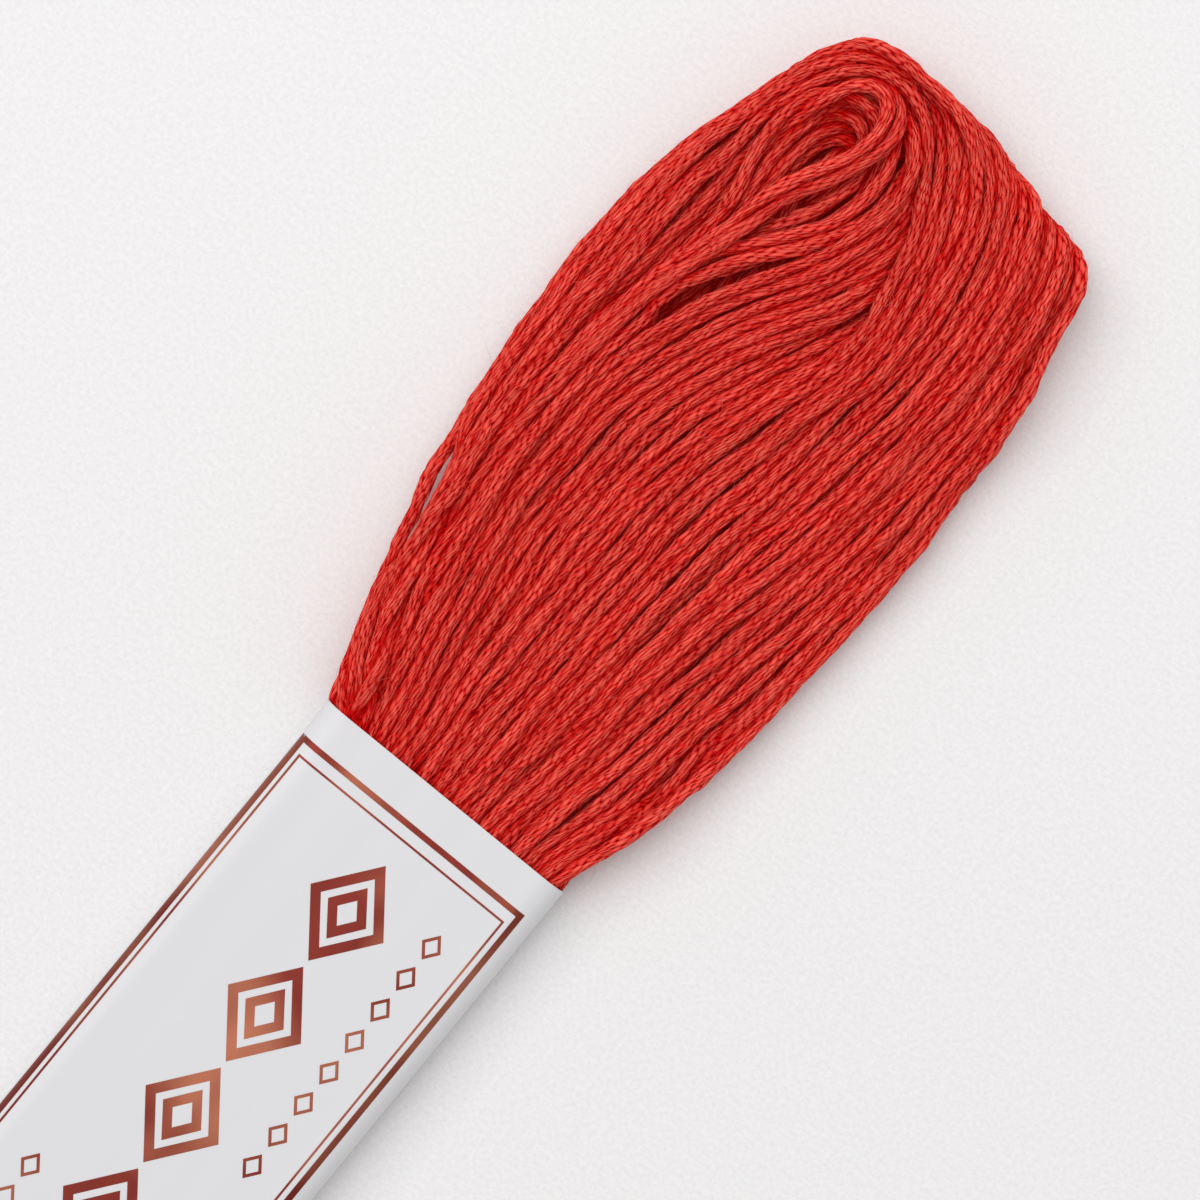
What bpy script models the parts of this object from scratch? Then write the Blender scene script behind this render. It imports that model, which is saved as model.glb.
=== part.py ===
"""A skein of stranded cotton embroidery floss, wound in long turns, pressed flat and held by a paper band.

Run it with: blender --background --python part.py
The skein lies on the surface z = 0. Its length runs along Y: the long loops fan out past the band's
upper edge at +Y and the short loops past its lower edge at -Y. The origin is the middle of the
band's underside. Tables are in millimetres, MM turns them into metres.
"""

import collections
import math

import bmesh
import bpy
import numpy as np

MM = 0.001

# Paper band: a flattened tube, glued round the middle of the skein.
BAND_LENGTH = 78.0
BAND_WIDTH = 25.0
BAND_HEIGHT = 5.6
BAND_CORNER = 2.4
BAND_WALL = 0.4
BAND_CORNER_STEPS = 6

# Skein: about a hundred lengths of thread side by side.
GAP = 0.3
HELD_HALF_WIDTH = BAND_WIDTH / 2 - BAND_WALL - GAP
HELD_UNDERSIDE = BAND_WALL + GAP
HELD_TOP = BAND_HEIGHT - BAND_WALL - GAP
SIDE_ROUND = 2.2
END_ROUND = 2.9
EDGE_SHARE = 0.45
CROWN_FALL = 0.16
SETTLE_LENGTH = 6.0

# Mesh density: strips over the top between the rounded sides, the same below, steps in a rounded side.
TOP_STRIPS = 34
UNDER_STRIPS = 4
TOP_SIDE_ANGLES = (22.5, 45.0, 67.5)
UNDER_SIDE_ANGLES = (45.0,)
END_ANGLES = (90.0, 76.0, 62.0, 48.0, 34.0, 20.0)
BULGE_GROWTH = 4

# The long loops. along: distance from the band's upper edge. left, right: the two sides. crown: height.
FAN = (
    # along, left, right, crown
    (0.3, -HELD_HALF_WIDTH, HELD_HALF_WIDTH, HELD_TOP),
    (2.5, -13.2, 13.2, 5.1),
    (5.0, -14.2, 13.8, 5.1),
    (10.0, -15.9, 15.0, 4.9),
    (15.0, -17.5, 15.9, 4.8),
    (20.0, -18.5, 16.5, 4.7),
    (30.0, -19.8, 17.4, 4.6),
    (40.0, -20.5, 17.8, 4.6),
    (50.0, -20.0, 17.3, 5.0),
    (55.0, -19.0, 16.6, 5.4),
    (60.0, -17.5, 15.5, 6.0),
    (64.0, -16.0, 14.7, 6.3),
    (67.0, -14.9, 14.4, 6.4),
    (70.0, -12.8, 14.0, 6.3),
)

# The blunt end of the long loops, from the left corner to the right one.
FAN_END = (
    # across, along
    (-13.4, 69.3),
    (-11.0, 70.5),
    (-9.0, 70.7),
    (-6.5, 70.4),
    (-3.0, 71.1),
    (1.0, 70.7),
    (5.0, 69.5),
    (7.3, 68.6),
    (9.8, 68.6),
    (11.5, 68.2),
    (13.0, 67.2),
    (14.3, 65.2),
)

# The short loops, measured downwards from the band's lower edge.
TAIL = (
    # along, left, right, crown
    (0.3, -HELD_HALF_WIDTH, HELD_HALF_WIDTH, HELD_TOP),
    (2.5, -12.8, 12.8, 5.1),
    (7.0, -13.6, 13.5, 5.1),
    (13.0, -14.0, 13.9, 5.2),
    (19.0, -13.6, 13.5, 5.4),
    (24.0, -12.3, 12.2, 5.5),
    (27.0, -11.0, 11.0, 5.5),
)
TAIL_END = (
    # across, along
    (-12.1, 24.5),
    (-10.0, 26.6),
    (-6.0, 27.8),
    (0.0, 28.1),
    (6.0, 27.7),
    (10.0, 26.5),
    (12.0, 24.5),
)

# Where the rows of the mesh lie along a lobe: closer together over the crossing turns near the blunt end.
FAN_ROWS = (
    # from, to, step
    (0.3, 4.3, 1.0),
    (4.3, 44.3, 2.5),
    (44.3, 66.3, 1.0),
)
TAIL_ROWS = (
    # from, to, step
    (0.3, 3.3, 1.5),
    (3.3, 21.3, 3.0),
)

# A lobe is one bunch of loops: its sides, its end, how far along its two end corners lie, its rows.
Lobe = collections.namedtuple("Lobe", "sides end left_reach right_reach rows twisted")
LONG_LOOPS = Lobe(FAN, FAN_END, 69.3, 65.2, FAN_ROWS, True)
SHORT_LOOPS = Lobe(TAIL, TAIL_END, 24.5, 24.5, TAIL_ROWS, False)

# Main twists: turns that ride over the rest (rise above 0) and hollows between them (rise below 0).
TWISTS = (
    # name, rise, reach to each side, path as (across, along)
    ("hook", 0.9, 1.5, ((-11.9, 65.6), (-10.4, 67.3), (-8.8, 67.8), (-7.2, 66.8), (-6.6, 64.2),
                        (-7.4, 61.0), (-9.6, 56.8), (-11.0, 52.5), (-12.5, 46.0))),
    ("eye", -2.6, 1.2, ((-10.2, 65.2), (-8.7, 66.2))),
    ("inside_eye", -1.1, 1.1, ((-10.6, 55.5), (-10.0, 59.0), (-8.9, 61.8))),
    ("right_of_hook", -1.2, 1.1, ((-5.2, 62.8), (-5.3, 60.4), (-6.2, 57.8), (-7.7, 53.6))),
    ("below_hook", -1.5, 1.0, ((-11.2, 43.6), (-9.8, 47.5), (-8.3, 50.4))),
    ("left_of_hook", -0.8, 1.0, ((-14.0, 64.8), (-14.9, 60.5), (-14.4, 54.5), (-13.4, 49.5))),
    ("under_outer_turns", -0.9, 1.0, ((-10.2, 69.0), (-7.2, 68.6), (-4.6, 67.0), (-1.6, 63.0),
                                      (0.4, 58.6), (1.4, 54.6), (0.2, 50.0))),
    ("outer_turns", 0.6, 1.8, ((-9.0, 70.2), (-3.6, 69.2), (0.4, 65.0), (2.2, 60.0), (3.2, 54.0))),
    ("inner_turns", 0.5, 1.8, ((-3.4, 64.0), (-2.4, 60.0), (-4.6, 55.4), (-8.0, 49.6))),
    ("right_corner", -0.7, 1.0, ((7.6, 68.6), (9.6, 63.0), (10.6, 56.0))),
    ("left_slit", -0.9, 0.9, ((-17.6, 23.0), (-16.9, 18.5), (-16.0, 14.5))),
    ("left_furrow", -0.5, 0.9, ((-12.8, 39.0), (-13.8, 30.0), (-13.7, 20.0), (-12.4, 10.0))),
    ("second_furrow", -0.5, 0.9, ((-8.6, 34.0), (-9.9, 24.0), (-9.4, 15.0))),
    ("third_furrow", -0.5, 0.9, ((-1.8, 33.0), (-3.2, 22.0), (-2.6, 12.0), (-1.9, 3.0))),
    ("middle_furrow", -0.5, 0.9, ((2.6, 42.0), (3.9, 30.0), (3.5, 20.0))),
    ("right_furrow", -0.5, 0.9, ((8.8, 47.0), (7.4, 30.0), (5.9, 15.0), (4.9, 4.0))),
    ("far_right_furrow", -0.5, 0.9, ((14.8, 36.0), (13.4, 25.0), (10.6, 13.0), (9.8, 5.0))),
)

# Finish of each piece.
COTTON_RED = (0.60, 0.045, 0.028, 1.0)
COTTON_ROUGHNESS = 0.85
PAPER_WHITE = (0.80, 0.80, 0.82, 1.0)
PAPER_ROUGHNESS = 0.35


def clear_scene():
    for obj in list(bpy.data.objects):
        bpy.data.objects.remove(obj, do_unlink=True)


def make_material(name, colour, roughness):
    material = bpy.data.materials.new(name)
    material.use_nodes = True
    shader = material.node_tree.nodes["Principled BSDF"]
    shader.inputs["Base Color"].default_value = colour
    shader.inputs["Roughness"].default_value = roughness
    shader.inputs["Metallic"].default_value = 0.0
    return material


def add_object(name, mesh, material, collection):
    mesh.materials.append(material)
    obj = bpy.data.objects.new(name, mesh)
    collection.objects.link(obj)
    return obj


def curve_through(table, column, at):
    """Value of one column of a table at a place along its first column, on a smooth curve."""
    known = np.array([row[0] for row in table])
    values = np.array([row[column] for row in table])
    slopes = np.gradient(values, known)
    at = min(max(at, known[0]), known[-1])
    i = int(min(np.searchsorted(known, at, side="right") - 1, len(known) - 2))
    span = known[i + 1] - known[i]
    t = (at - known[i]) / span
    return float(
        values[i] * (1 + 2 * t) * (1 - t) ** 2
        + slopes[i] * span * t * (1 - t) ** 2
        + values[i + 1] * t * t * (3 - 2 * t)
        + slopes[i + 1] * span * t * t * (t - 1)
    )


def distance_to_path(x, y, path):
    """Shortest distance from (x, y) to a line of straight pieces."""
    best = math.inf
    for (ax, ay), (bx, by) in zip(path, path[1:]):
        dx, dy = bx - ax, by - ay
        t = ((x - ax) * dx + (y - ay) * dy) / (dx * dx + dy * dy)
        t = min(max(t, 0.0), 1.0)
        best = min(best, math.hypot(x - ax - t * dx, y - ay - t * dy))
    return best


def twist_rise(x, y):
    """Sum of the main twists' rises at a place on the long loops."""
    rise = 0.0
    for _name, height, reach, path in TWISTS:
        rise += height * math.exp(-((distance_to_path(x, y, path) / reach) ** 2))
    return rise


def roundness(distance, radius):
    """0 at the edge, 1 once the rounded edge is passed, along a quarter circle between."""
    inside = min(distance, radius) / radius
    return math.sqrt(max(0.0, 1 - (1 - inside) ** 2))


def stations_across(width, angles, strips):
    """Distances from the left edge: through one rounded side, evenly over the middle, through the other."""
    side = [SIDE_ROUND * (1 - math.cos(math.radians(angle))) for angle in angles]
    middle = list(np.linspace(SIDE_ROUND, width - SIDE_ROUND, strips + 1))
    return [0.0] + side + middle + [width - d for d in reversed(side)] + [width]


def rows_along(lobe):
    """Distances that are left to the end of a lobe: its straight rows, then its rounded end."""
    reach = (lobe.left_reach + lobe.right_reach) / 2
    places = []
    for start, stop, step in lobe.rows:
        places += list(np.arange(start, stop, step))
    to_go = [reach - y for y in places if reach - y > END_ROUND]
    to_go += [END_ROUND * (1 - math.cos(math.radians(angle))) for angle in END_ANGLES]
    return to_go + [0.0]


def end_bulge(lobe, share, across_share):
    """How far a row bows out to follow the lobe's end: nothing beside the band, all of it at the end."""
    first, last = lobe.end[0][0], lobe.end[-1][0]
    chord = lobe.left_reach + across_share * (lobe.right_reach - lobe.left_reach)
    out = curve_through(lobe.end, 1, first + across_share * (last - first)) - chord
    return out * share**BULGE_GROWTH


def ring_at(lobe, to_go):
    """One ring round a lobe, as its points over the top and its inner points underneath."""
    reach = (lobe.left_reach + lobe.right_reach) / 2
    share = 1 - to_go / reach
    along_left, along_right = share * lobe.left_reach, share * lobe.right_reach
    left = curve_through(lobe.sides, 1, along_left)
    right = curve_through(lobe.sides, 2, along_right)
    crown = curve_through(lobe.sides, 3, share * reach)
    settled = min(1.0, share * reach / SETTLE_LENGTH)
    underside = HELD_UNDERSIDE * (1 + math.cos(math.pi * settled)) / 2
    edge = underside + EDGE_SHARE * (crown - underside)
    width = right - left

    def place(distance, over):
        across = distance / width
        x = left + distance
        y = along_left + across * (along_right - along_left) + end_bulge(lobe, share, across)
        grown = roundness(min(distance, width - distance), SIDE_ROUND) * roundness(to_go, END_ROUND)
        if not over:
            return x, y, edge - (edge - underside) * grown
        height = crown
        if lobe.twisted:
            height = crown * (1 - CROWN_FALL * (2 * across - 1) ** 2) + twist_rise(x, y)
        return x, y, edge + (height - edge) * grown

    top = [place(d, True) for d in stations_across(width, TOP_SIDE_ANGLES, TOP_STRIPS)]
    under = [place(d, False) for d in stations_across(width, UNDER_SIDE_ANGLES, UNDER_STRIPS)]
    return top, under[1:-1]


def lobe_rings(lobe, side):
    """Rings of a lobe in metres, from beside the band outwards. side: +1 for the upper, -1 for the lower."""
    rings = []
    for to_go in rows_along(lobe):
        top, under = ring_at(lobe, to_go)
        ring = top + list(reversed(under))
        rings.append([(x * MM, side * (BAND_LENGTH / 2 + y) * MM, z * MM) for x, y, z in ring])
    return rings


def nearest_places(under, line):
    """For each point of the underside, from right to left, the closing line's point nearest across."""
    places = []
    for vert in under:
        places.append(min(range(len(line)), key=lambda i: abs(line[i].co.x - vert.co.x)))
    places[0] = len(line) - 1
    places[-1] = 0
    return places


def close_end(mesh, ring, line):
    """Faces between the last ring and the line in which the top and the underside meet."""
    over = len(line)
    for k in range(over - 1):
        mesh.faces.new((ring[k], ring[k + 1], line[k + 1], line[k]))
    # The underside has fewer points, so each of its strips takes several points of the line.
    under = ring[over - 1:] + [ring[0]]
    places = nearest_places(under, line)
    for k in range(len(under) - 1):
        taken = line[places[k + 1]:places[k] + 1]
        mesh.faces.new([under[k + 1], under[k]] + taken[::-1])


def loft(rings, over):
    """Skins the rings. The first and the last have only their points over the top and close the ends."""
    mesh = bmesh.new()
    levels = [[mesh.verts.new(point) for point in rings[0][:over]]]
    levels += [[mesh.verts.new(point) for point in ring] for ring in rings[1:-1]]
    levels += [[mesh.verts.new(point) for point in rings[-1][:over]]]
    for lower, upper in zip(levels[1:-2], levels[2:-1]):
        for k in range(len(lower)):
            n = (k + 1) % len(lower)
            mesh.faces.new((lower[k], lower[n], upper[n], upper[k]))
    close_end(mesh, levels[1], levels[0])
    close_end(mesh, levels[-2], levels[-1])
    bmesh.ops.triangulate(mesh, faces=mesh.faces[:])
    bmesh.ops.recalc_face_normals(mesh, faces=mesh.faces[:])
    return mesh


def make_skein(collection):
    """The wound floss: one closed body of its outer form, with the main twists."""
    rings = lobe_rings(SHORT_LOOPS, -1)[::-1] + lobe_rings(LONG_LOOPS, 1)
    over = TOP_STRIPS + 1 + 2 * len(TOP_SIDE_ANGLES) + 2
    mesh = bpy.data.meshes.new("skein")
    bm = loft(rings, over)
    bm.to_mesh(mesh)
    bm.free()
    mesh.shade_smooth()
    return add_object("skein", mesh, make_material("cotton_floss", COTTON_RED, COTTON_ROUGHNESS), collection)


def band_outline():
    """The band's outer outline across the skein: a rectangle with round corners, its underside at z = 0."""
    points = []
    for quarter, (side, level) in enumerate(((1, 1), (-1, 1), (-1, 0), (1, 0))):
        cx = side * (BAND_WIDTH / 2 - BAND_CORNER)
        cz = level * BAND_HEIGHT + (1 - 2 * level) * BAND_CORNER
        for step in range(BAND_CORNER_STEPS + 1):
            angle = math.radians(90 * (quarter + step / BAND_CORNER_STEPS))
            points.append((cx + BAND_CORNER * math.cos(angle), cz + BAND_CORNER * math.sin(angle)))
    return points


def make_band(collection):
    """The paper band: an open sleeve given its wall by Solidify."""
    half = BAND_LENGTH / 2
    bm = bmesh.new()
    front = [bm.verts.new((x * MM, -half * MM, z * MM)) for x, z in band_outline()]
    back = [bm.verts.new((x * MM, half * MM, z * MM)) for x, z in band_outline()]
    for k in range(len(front)):
        n = (k + 1) % len(front)
        bm.faces.new((front[k], back[k], back[n], front[n]))
    mesh = bpy.data.meshes.new("band")
    bm.to_mesh(mesh)
    bm.free()
    band = add_object("band", mesh, make_material("band_paper", PAPER_WHITE, PAPER_ROUGHNESS), collection)
    wall = band.modifiers.new("wall", "SOLIDIFY")
    wall.thickness = BAND_WALL * MM
    wall.offset = -1.0
    wall.use_even_offset = True
    return band


def main():
    clear_scene()
    collection = bpy.data.collections.new("embroidery_floss_skein")
    bpy.context.scene.collection.children.link(collection)
    make_skein(collection)
    make_band(collection)


main()
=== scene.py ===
# %% [markdown]
# # A pressed skein of stranded cotton
#
# Soft six-strand thread is wound into long turns, pressed flat and held by a paper band. Every turn
# is modelled as the real thread: a line is laid in a few points, all lines are then pushed
# apart until hardly any two threads share a place, and each line is skinned with a section of six
# twisted strands. Inside the band nothing shows, so the threads stop a few millimetres in from its
# edges and the turns are not joined there. The imported model gives the sizes, so it is loaded first.

# %% Load the frame
import math

import bmesh
import bpy
import numpy as np
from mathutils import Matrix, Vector, kdtree


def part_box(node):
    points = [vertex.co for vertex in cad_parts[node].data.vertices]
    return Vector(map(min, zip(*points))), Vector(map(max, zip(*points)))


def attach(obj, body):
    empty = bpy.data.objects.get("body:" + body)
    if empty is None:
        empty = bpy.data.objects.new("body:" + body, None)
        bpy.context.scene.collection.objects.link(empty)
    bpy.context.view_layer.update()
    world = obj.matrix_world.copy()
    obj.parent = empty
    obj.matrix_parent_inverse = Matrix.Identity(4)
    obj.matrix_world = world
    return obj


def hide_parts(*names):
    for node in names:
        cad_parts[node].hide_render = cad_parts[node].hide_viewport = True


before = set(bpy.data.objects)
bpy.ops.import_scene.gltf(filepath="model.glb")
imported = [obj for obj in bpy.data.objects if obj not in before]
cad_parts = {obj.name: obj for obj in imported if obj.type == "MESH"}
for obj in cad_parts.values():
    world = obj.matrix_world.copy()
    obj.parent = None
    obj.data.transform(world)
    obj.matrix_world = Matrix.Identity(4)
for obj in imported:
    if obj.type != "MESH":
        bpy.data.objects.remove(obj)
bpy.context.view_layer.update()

MM = 0.001
band_low, band_high = (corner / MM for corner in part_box("band"))
print("band from", tuple(band_low), "to", tuple(band_high))

# %% [markdown]
# ## Measures
#
# The thread is the ruler of the whole piece. It is 1.1 mm thick, six strands twisted to the right
# with one full turn in 14 mm. Places on the skein are given as `across` (to the right of its middle
# line) and `along` (from the band's edge outwards), in millimetres, because that is how one would
# read them with a ruler laid on the real skein.

# %% Thread and band sizes
THREAD = 1.10
STRANDS = 6
TWIST_LENGTH = 14.0
PAPER = 0.12
UPPER_EDGE = band_high.y
LOWER_EDGE = band_low.y
BAND_HALF = band_high.x
BAND_TOP = band_high.z
RADIUS = THREAD / 2

# %% [markdown]
# ## Soft curves through a few points
#
# A thread has no corners. A cubic Hermite curve goes through every given point and takes its slope
# from the neighbours, so a dozen points make a long, even line. It is then cut into equal steps,
# which the pushing apart and the skinning both need.


# %% Curve helpers
def soft_curve(points, step):
    """Points every `step` on a soft curve through the given ones."""
    points = np.asarray(points, float)
    chord = np.linalg.norm(np.diff(points, axis=0), axis=1)
    at = np.concatenate([[0.0], np.cumsum(np.sqrt(chord) * math.sqrt(chord.mean()))])
    slope = np.gradient(points, at, axis=0)
    fine = np.linspace(0, at[-1], 12 * len(points))
    k = np.clip(np.searchsorted(at, fine, side="right") - 1, 0, len(at) - 2)
    span = (at[k + 1] - at[k])[:, None]
    t = (fine[:, None] - at[k][:, None]) / span
    curve = (points[k] * (1 + 2 * t) * (1 - t) ** 2 + slope[k] * span * t * (1 - t) ** 2
             + points[k + 1] * t * t * (3 - 2 * t) + slope[k + 1] * span * t * t * (t - 1))
    return even_steps(curve, step)


def even_steps(line, step):
    """The same line with points an equal distance apart."""
    run = np.concatenate([[0.0], np.cumsum(np.linalg.norm(np.diff(line, axis=0), axis=1))])
    count = max(2, round(run[-1] / step) + 1)
    places = np.linspace(0, run[-1], count)
    return np.stack([np.interp(places, run, line[:, c]) for c in range(3)], axis=1)


# %% [markdown]
# ## How the turns lie
#
# The long loops do not simply go up and come back. They were wound on a reel, taken off and pressed,
# so they turn round an eye near one corner. The threads on the left go up, pass over the corner and
# sweep down on the right. Two turns close to the eye hook round it and come down on top of the
# rest. Each group is a fan of threads between guide lines, and a guide is a short table of
# (across, along, lift), where lift 0 lies on the table and lift 1 on top of the skein.

# %% Height of the pressed skein along its length
CROWN = np.array([
    # along, height of the top
    (-6.0, 5.3),
    (0.0, 5.3),
    (6.0, 5.0),
    (14.0, 4.7),
    (25.0, 4.5),
    (40.0, 4.5),
    (50.0, 4.9),
    (58.0, 5.5),
    (64.0, 5.9),
    (72.0, 5.9),
])


def at_height(guide):
    """Turns the lift of each point into the height of the thread's middle."""
    guide = np.array(guide, float)
    top = np.interp(guide[:, 1], CROWN[:, 0], CROWN[:, 1])
    low = np.interp(guide[:, 1], (-2.0, 6.0), (PAPER, 0.0)) + RADIUS
    guide[:, 2] = low + guide[:, 2] * (top - RADIUS - low)
    return guide


# %% Guides of the turns that run along the left side and over the corner
LEFT_EDGE_OUTER = [
    # across, along, lift
    (-11.9, -5, 0.8), (-11.9, 0, 0.8), (-13.7, 5, 0.7), (-15.4, 10, 0.6), (-16.9, 15, 0.5),
    (-18.0, 20, 0.5), (-19.2, 30, 0.5), (-19.9, 40, 0.5), (-19.4, 50, 0.55), (-18.4, 55, 0.6),
    (-16.9, 60, 0.7), (-15.3, 64.5, 0.8), (-14.0, 67.4, 0.85), (-12.2, 69.2, 0.85),
    (-9.5, 70.1, 0.9), (-6.2, 70.0, 0.95), (-2.6, 69.4, 1.0), (0.2, 67.7, 1.0), (2.2, 65.2, 1.0),
    (3.6, 62, 1.0), (4.7, 58, 1.0), (5.5, 53, 1.0), (5.6, 49, 1.0), (5.0, 45, 1.0),
    (4.5, 40, 1.0), (4.0, 36, 1.0), (3.1, 32, 1.0), (2.5, 28, 1.0), (2.3, 22, 1.0),
    (1.9, 13, 1.0), (1.6, 6, 1.0), (1.3, 0, 1.0), (1.3, -5, 1.0),
]
LEFT_EDGE_INNER = [
    # across, along, lift
    (-9.9, -5, 1.0), (-9.9, 0, 1.0), (-11.8, 5, 1.0), (-13.2, 10, 1.0), (-14.2, 15, 1.0),
    (-15.0, 20, 1.0), (-16.2, 30, 1.0), (-16.4, 40, 1.0), (-16.0, 50, 0.95), (-15.6, 55, 0.9),
    (-15.2, 59, 0.9), (-14.7, 62, 0.9), (-13.9, 64.6, 0.9), (-12.7, 66.8, 0.9),
    (-10.6, 68.5, 0.9), (-8.0, 68.9, 0.9), (-5.6, 68.2, 0.95), (-3.6, 66.5, 1.0), (-1.7, 63.9, 1.0),
    (0.0, 61.2, 1.0), (1.3, 58.2, 1.0), (2.3, 54, 1.0), (2.5, 50.5, 1.0), (2.0, 46.5, 1.0),
    (0.9, 42, 1.0), (-0.4, 37, 1.0), (-1.2, 33, 1.0), (-1.9, 28, 1.0), (-2.2, 22, 1.0),
    (-1.9, 13, 1.0), (-1.8, 6, 1.0), (-1.5, 0, 1.0), (-1.5, -5, 1.0),
]

# %% Guides of the hook, which turns tightly round the eye and comes down on top
HOOK_OUTER = [
    # across, along, lift
    (-10.8, -5, 0.7), (-10.8, 0, 0.7), (-12.8, 8, 0.65), (-14.6, 18, 0.6), (-15.2, 28, 0.6),
    (-15.0, 38, 0.65), (-14.6, 46, 0.7), (-14.3, 52, 0.75), (-14.2, 57, 0.8), (-13.9, 61, 0.85),
    (-13.2, 64, 0.95), (-11.9, 66.6, 1.0), (-10.0, 68.0, 1.05), (-8.0, 67.9, 1.12),
    (-6.5, 66.6, 1.2), (-5.9, 64.6, 1.22), (-6.4, 61.8, 1.22), (-7.8, 58.6, 1.2),
    (-9.1, 55.4, 1.18), (-9.9, 52, 1.15), (-10.9, 48.4, 1.12), (-11.9, 45.2, 1.08),
    (-12.8, 41.5, 1.05), (-13.5, 37, 1.0), (-14.0, 31, 1.0), (-14.2, 24, 1.0), (-13.6, 16, 1.0),
    (-12.2, 9, 1.0), (-10.6, 3, 1.0), (-10.0, 0, 1.0), (-10.0, -5, 1.0),
]
HOOK_INNER = [
    # across, along, lift
    (-9.4, -5, 0.6), (-9.4, 0, 0.6), (-11.4, 8, 0.6), (-13.2, 18, 0.6), (-13.8, 28, 0.6),
    (-13.8, 38, 0.65), (-13.6, 46, 0.7), (-13.3, 52, 0.72), (-13.0, 56, 0.75), (-12.7, 60, 0.8),
    (-12.1, 63, 0.9), (-11.2, 65.3, 0.95), (-9.9, 66.7, 1.0), (-8.4, 66.8, 1.1),
    (-7.5, 65.7, 1.15), (-7.3, 64.0, 1.17), (-7.9, 61.2, 1.17), (-9.4, 57.8, 1.17),
    (-10.6, 54.6, 1.15), (-11.3, 51.4, 1.12), (-12.2, 47.8, 1.1), (-13.0, 44.6, 1.05),
    (-13.8, 41, 1.02), (-14.5, 36, 1.0), (-15.1, 30, 1.0), (-15.2, 23, 1.0), (-14.4, 15.5, 1.0),
    (-12.9, 8.6, 1.0), (-11.4, 3, 1.0), (-10.9, 0, 1.0), (-10.9, -5, 1.0),
]

# %% Guides of the strands inside the eye, which dive under the hook
INSIDE_EYE_OUTER = [
    # across, along, lift
    (-9.8, -5, 0.6), (-9.8, 0, 0.6), (-12.0, 8, 0.6), (-13.4, 16, 0.6), (-14.0, 26, 0.62),
    (-13.9, 35, 0.65), (-13.4, 43, 0.7), (-12.7, 48, 0.8), (-12.3, 51.5, 0.85), (-12.7, 54, 0.86),
    (-13.3, 57, 0.88), (-13.4, 60, 0.88), (-12.8, 62.4, 0.88), (-11.5, 64.3, 0.88),
    (-9.8, 65.3, 0.88), (-8.0, 65.2, 0.84), (-6.5, 64.2, 0.75), (-5.5, 62.4, 0.7),
    (-5.1, 60, 0.68), (-5.5, 57, 0.66), (-6.6, 54, 0.64), (-8.2, 50.5, 0.6), (-9.7, 46.5, 0.55),
    (-11.0, 42, 0.55), (-12.1, 36, 0.55), (-12.6, 28, 0.55), (-12.3, 20, 0.55),
    (-11.0, 12, 0.6), (-9.2, 5, 0.65), (-8.5, 0, 0.65), (-8.5, -5, 0.65),
]
INSIDE_EYE_INNER = [
    # across, along, lift
    (-8.8, -5, 0.5), (-8.8, 0, 0.5), (-10.8, 8, 0.5), (-12.2, 16, 0.5), (-12.8, 26, 0.5),
    (-12.7, 35, 0.52), (-12.3, 43, 0.6), (-11.8, 48, 0.66), (-11.5, 51.5, 0.7), (-11.5, 54, 0.7),
    (-11.6, 56.5, 0.7), (-11.4, 59, 0.7), (-10.9, 61, 0.7), (-10.1, 62.6, 0.7),
    (-9.0, 63.4, 0.7), (-7.9, 63.3, 0.66), (-7.1, 62.4, 0.5), (-6.8, 60.8, 0.4),
    (-6.9, 58.6, 0.36), (-7.3, 56, 0.38), (-8.0, 53, 0.4), (-9.2, 49.5, 0.45),
    (-10.4, 45.5, 0.45), (-11.3, 40.5, 0.45), (-11.9, 34, 0.45), (-11.9, 26, 0.45),
    (-11.2, 18, 0.45), (-9.9, 11, 0.5), (-8.3, 5, 0.55), (-7.6, 0, 0.55), (-7.6, -5, 0.55),
]

# %% Guides of the turns that come round the eye and sweep down to the left
INNER_SWEEP_FIRST = [
    # across, along, lift
    (-8.5, -5, 0.3), (-8.5, 0, 0.3), (-11.5, 12, 0.15), (-14.0, 26, 0.1), (-15.0, 40, 0.1),
    (-14.8, 50, 0.2), (-14.2, 57, 0.3), (-12.9, 62, 0.4), (-11.0, 65.6, 0.5), (-8.6, 67.4, 0.6),
    (-6.2, 66.9, 0.75), (-4.8, 65.0, 0.85), (-4.1, 62.6, 0.88), (-3.9, 60.2, 0.88),
    (-4.5, 57.6, 0.88), (-6.0, 54.9, 0.92), (-7.8, 52.5, 0.98), (-9.6, 50.2, 1.02),
    (-11.0, 47.8, 1.02), (-12.0, 45, 1.0), (-12.6, 42, 0.98), (-13.1, 38, 0.95),
    (-13.6, 33, 0.92), (-13.9, 26, 0.9), (-13.6, 19, 0.9), (-12.4, 12, 0.9), (-10.6, 5, 0.9),
    (-9.5, 0, 0.9), (-9.5, -5, 0.9),
]
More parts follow.
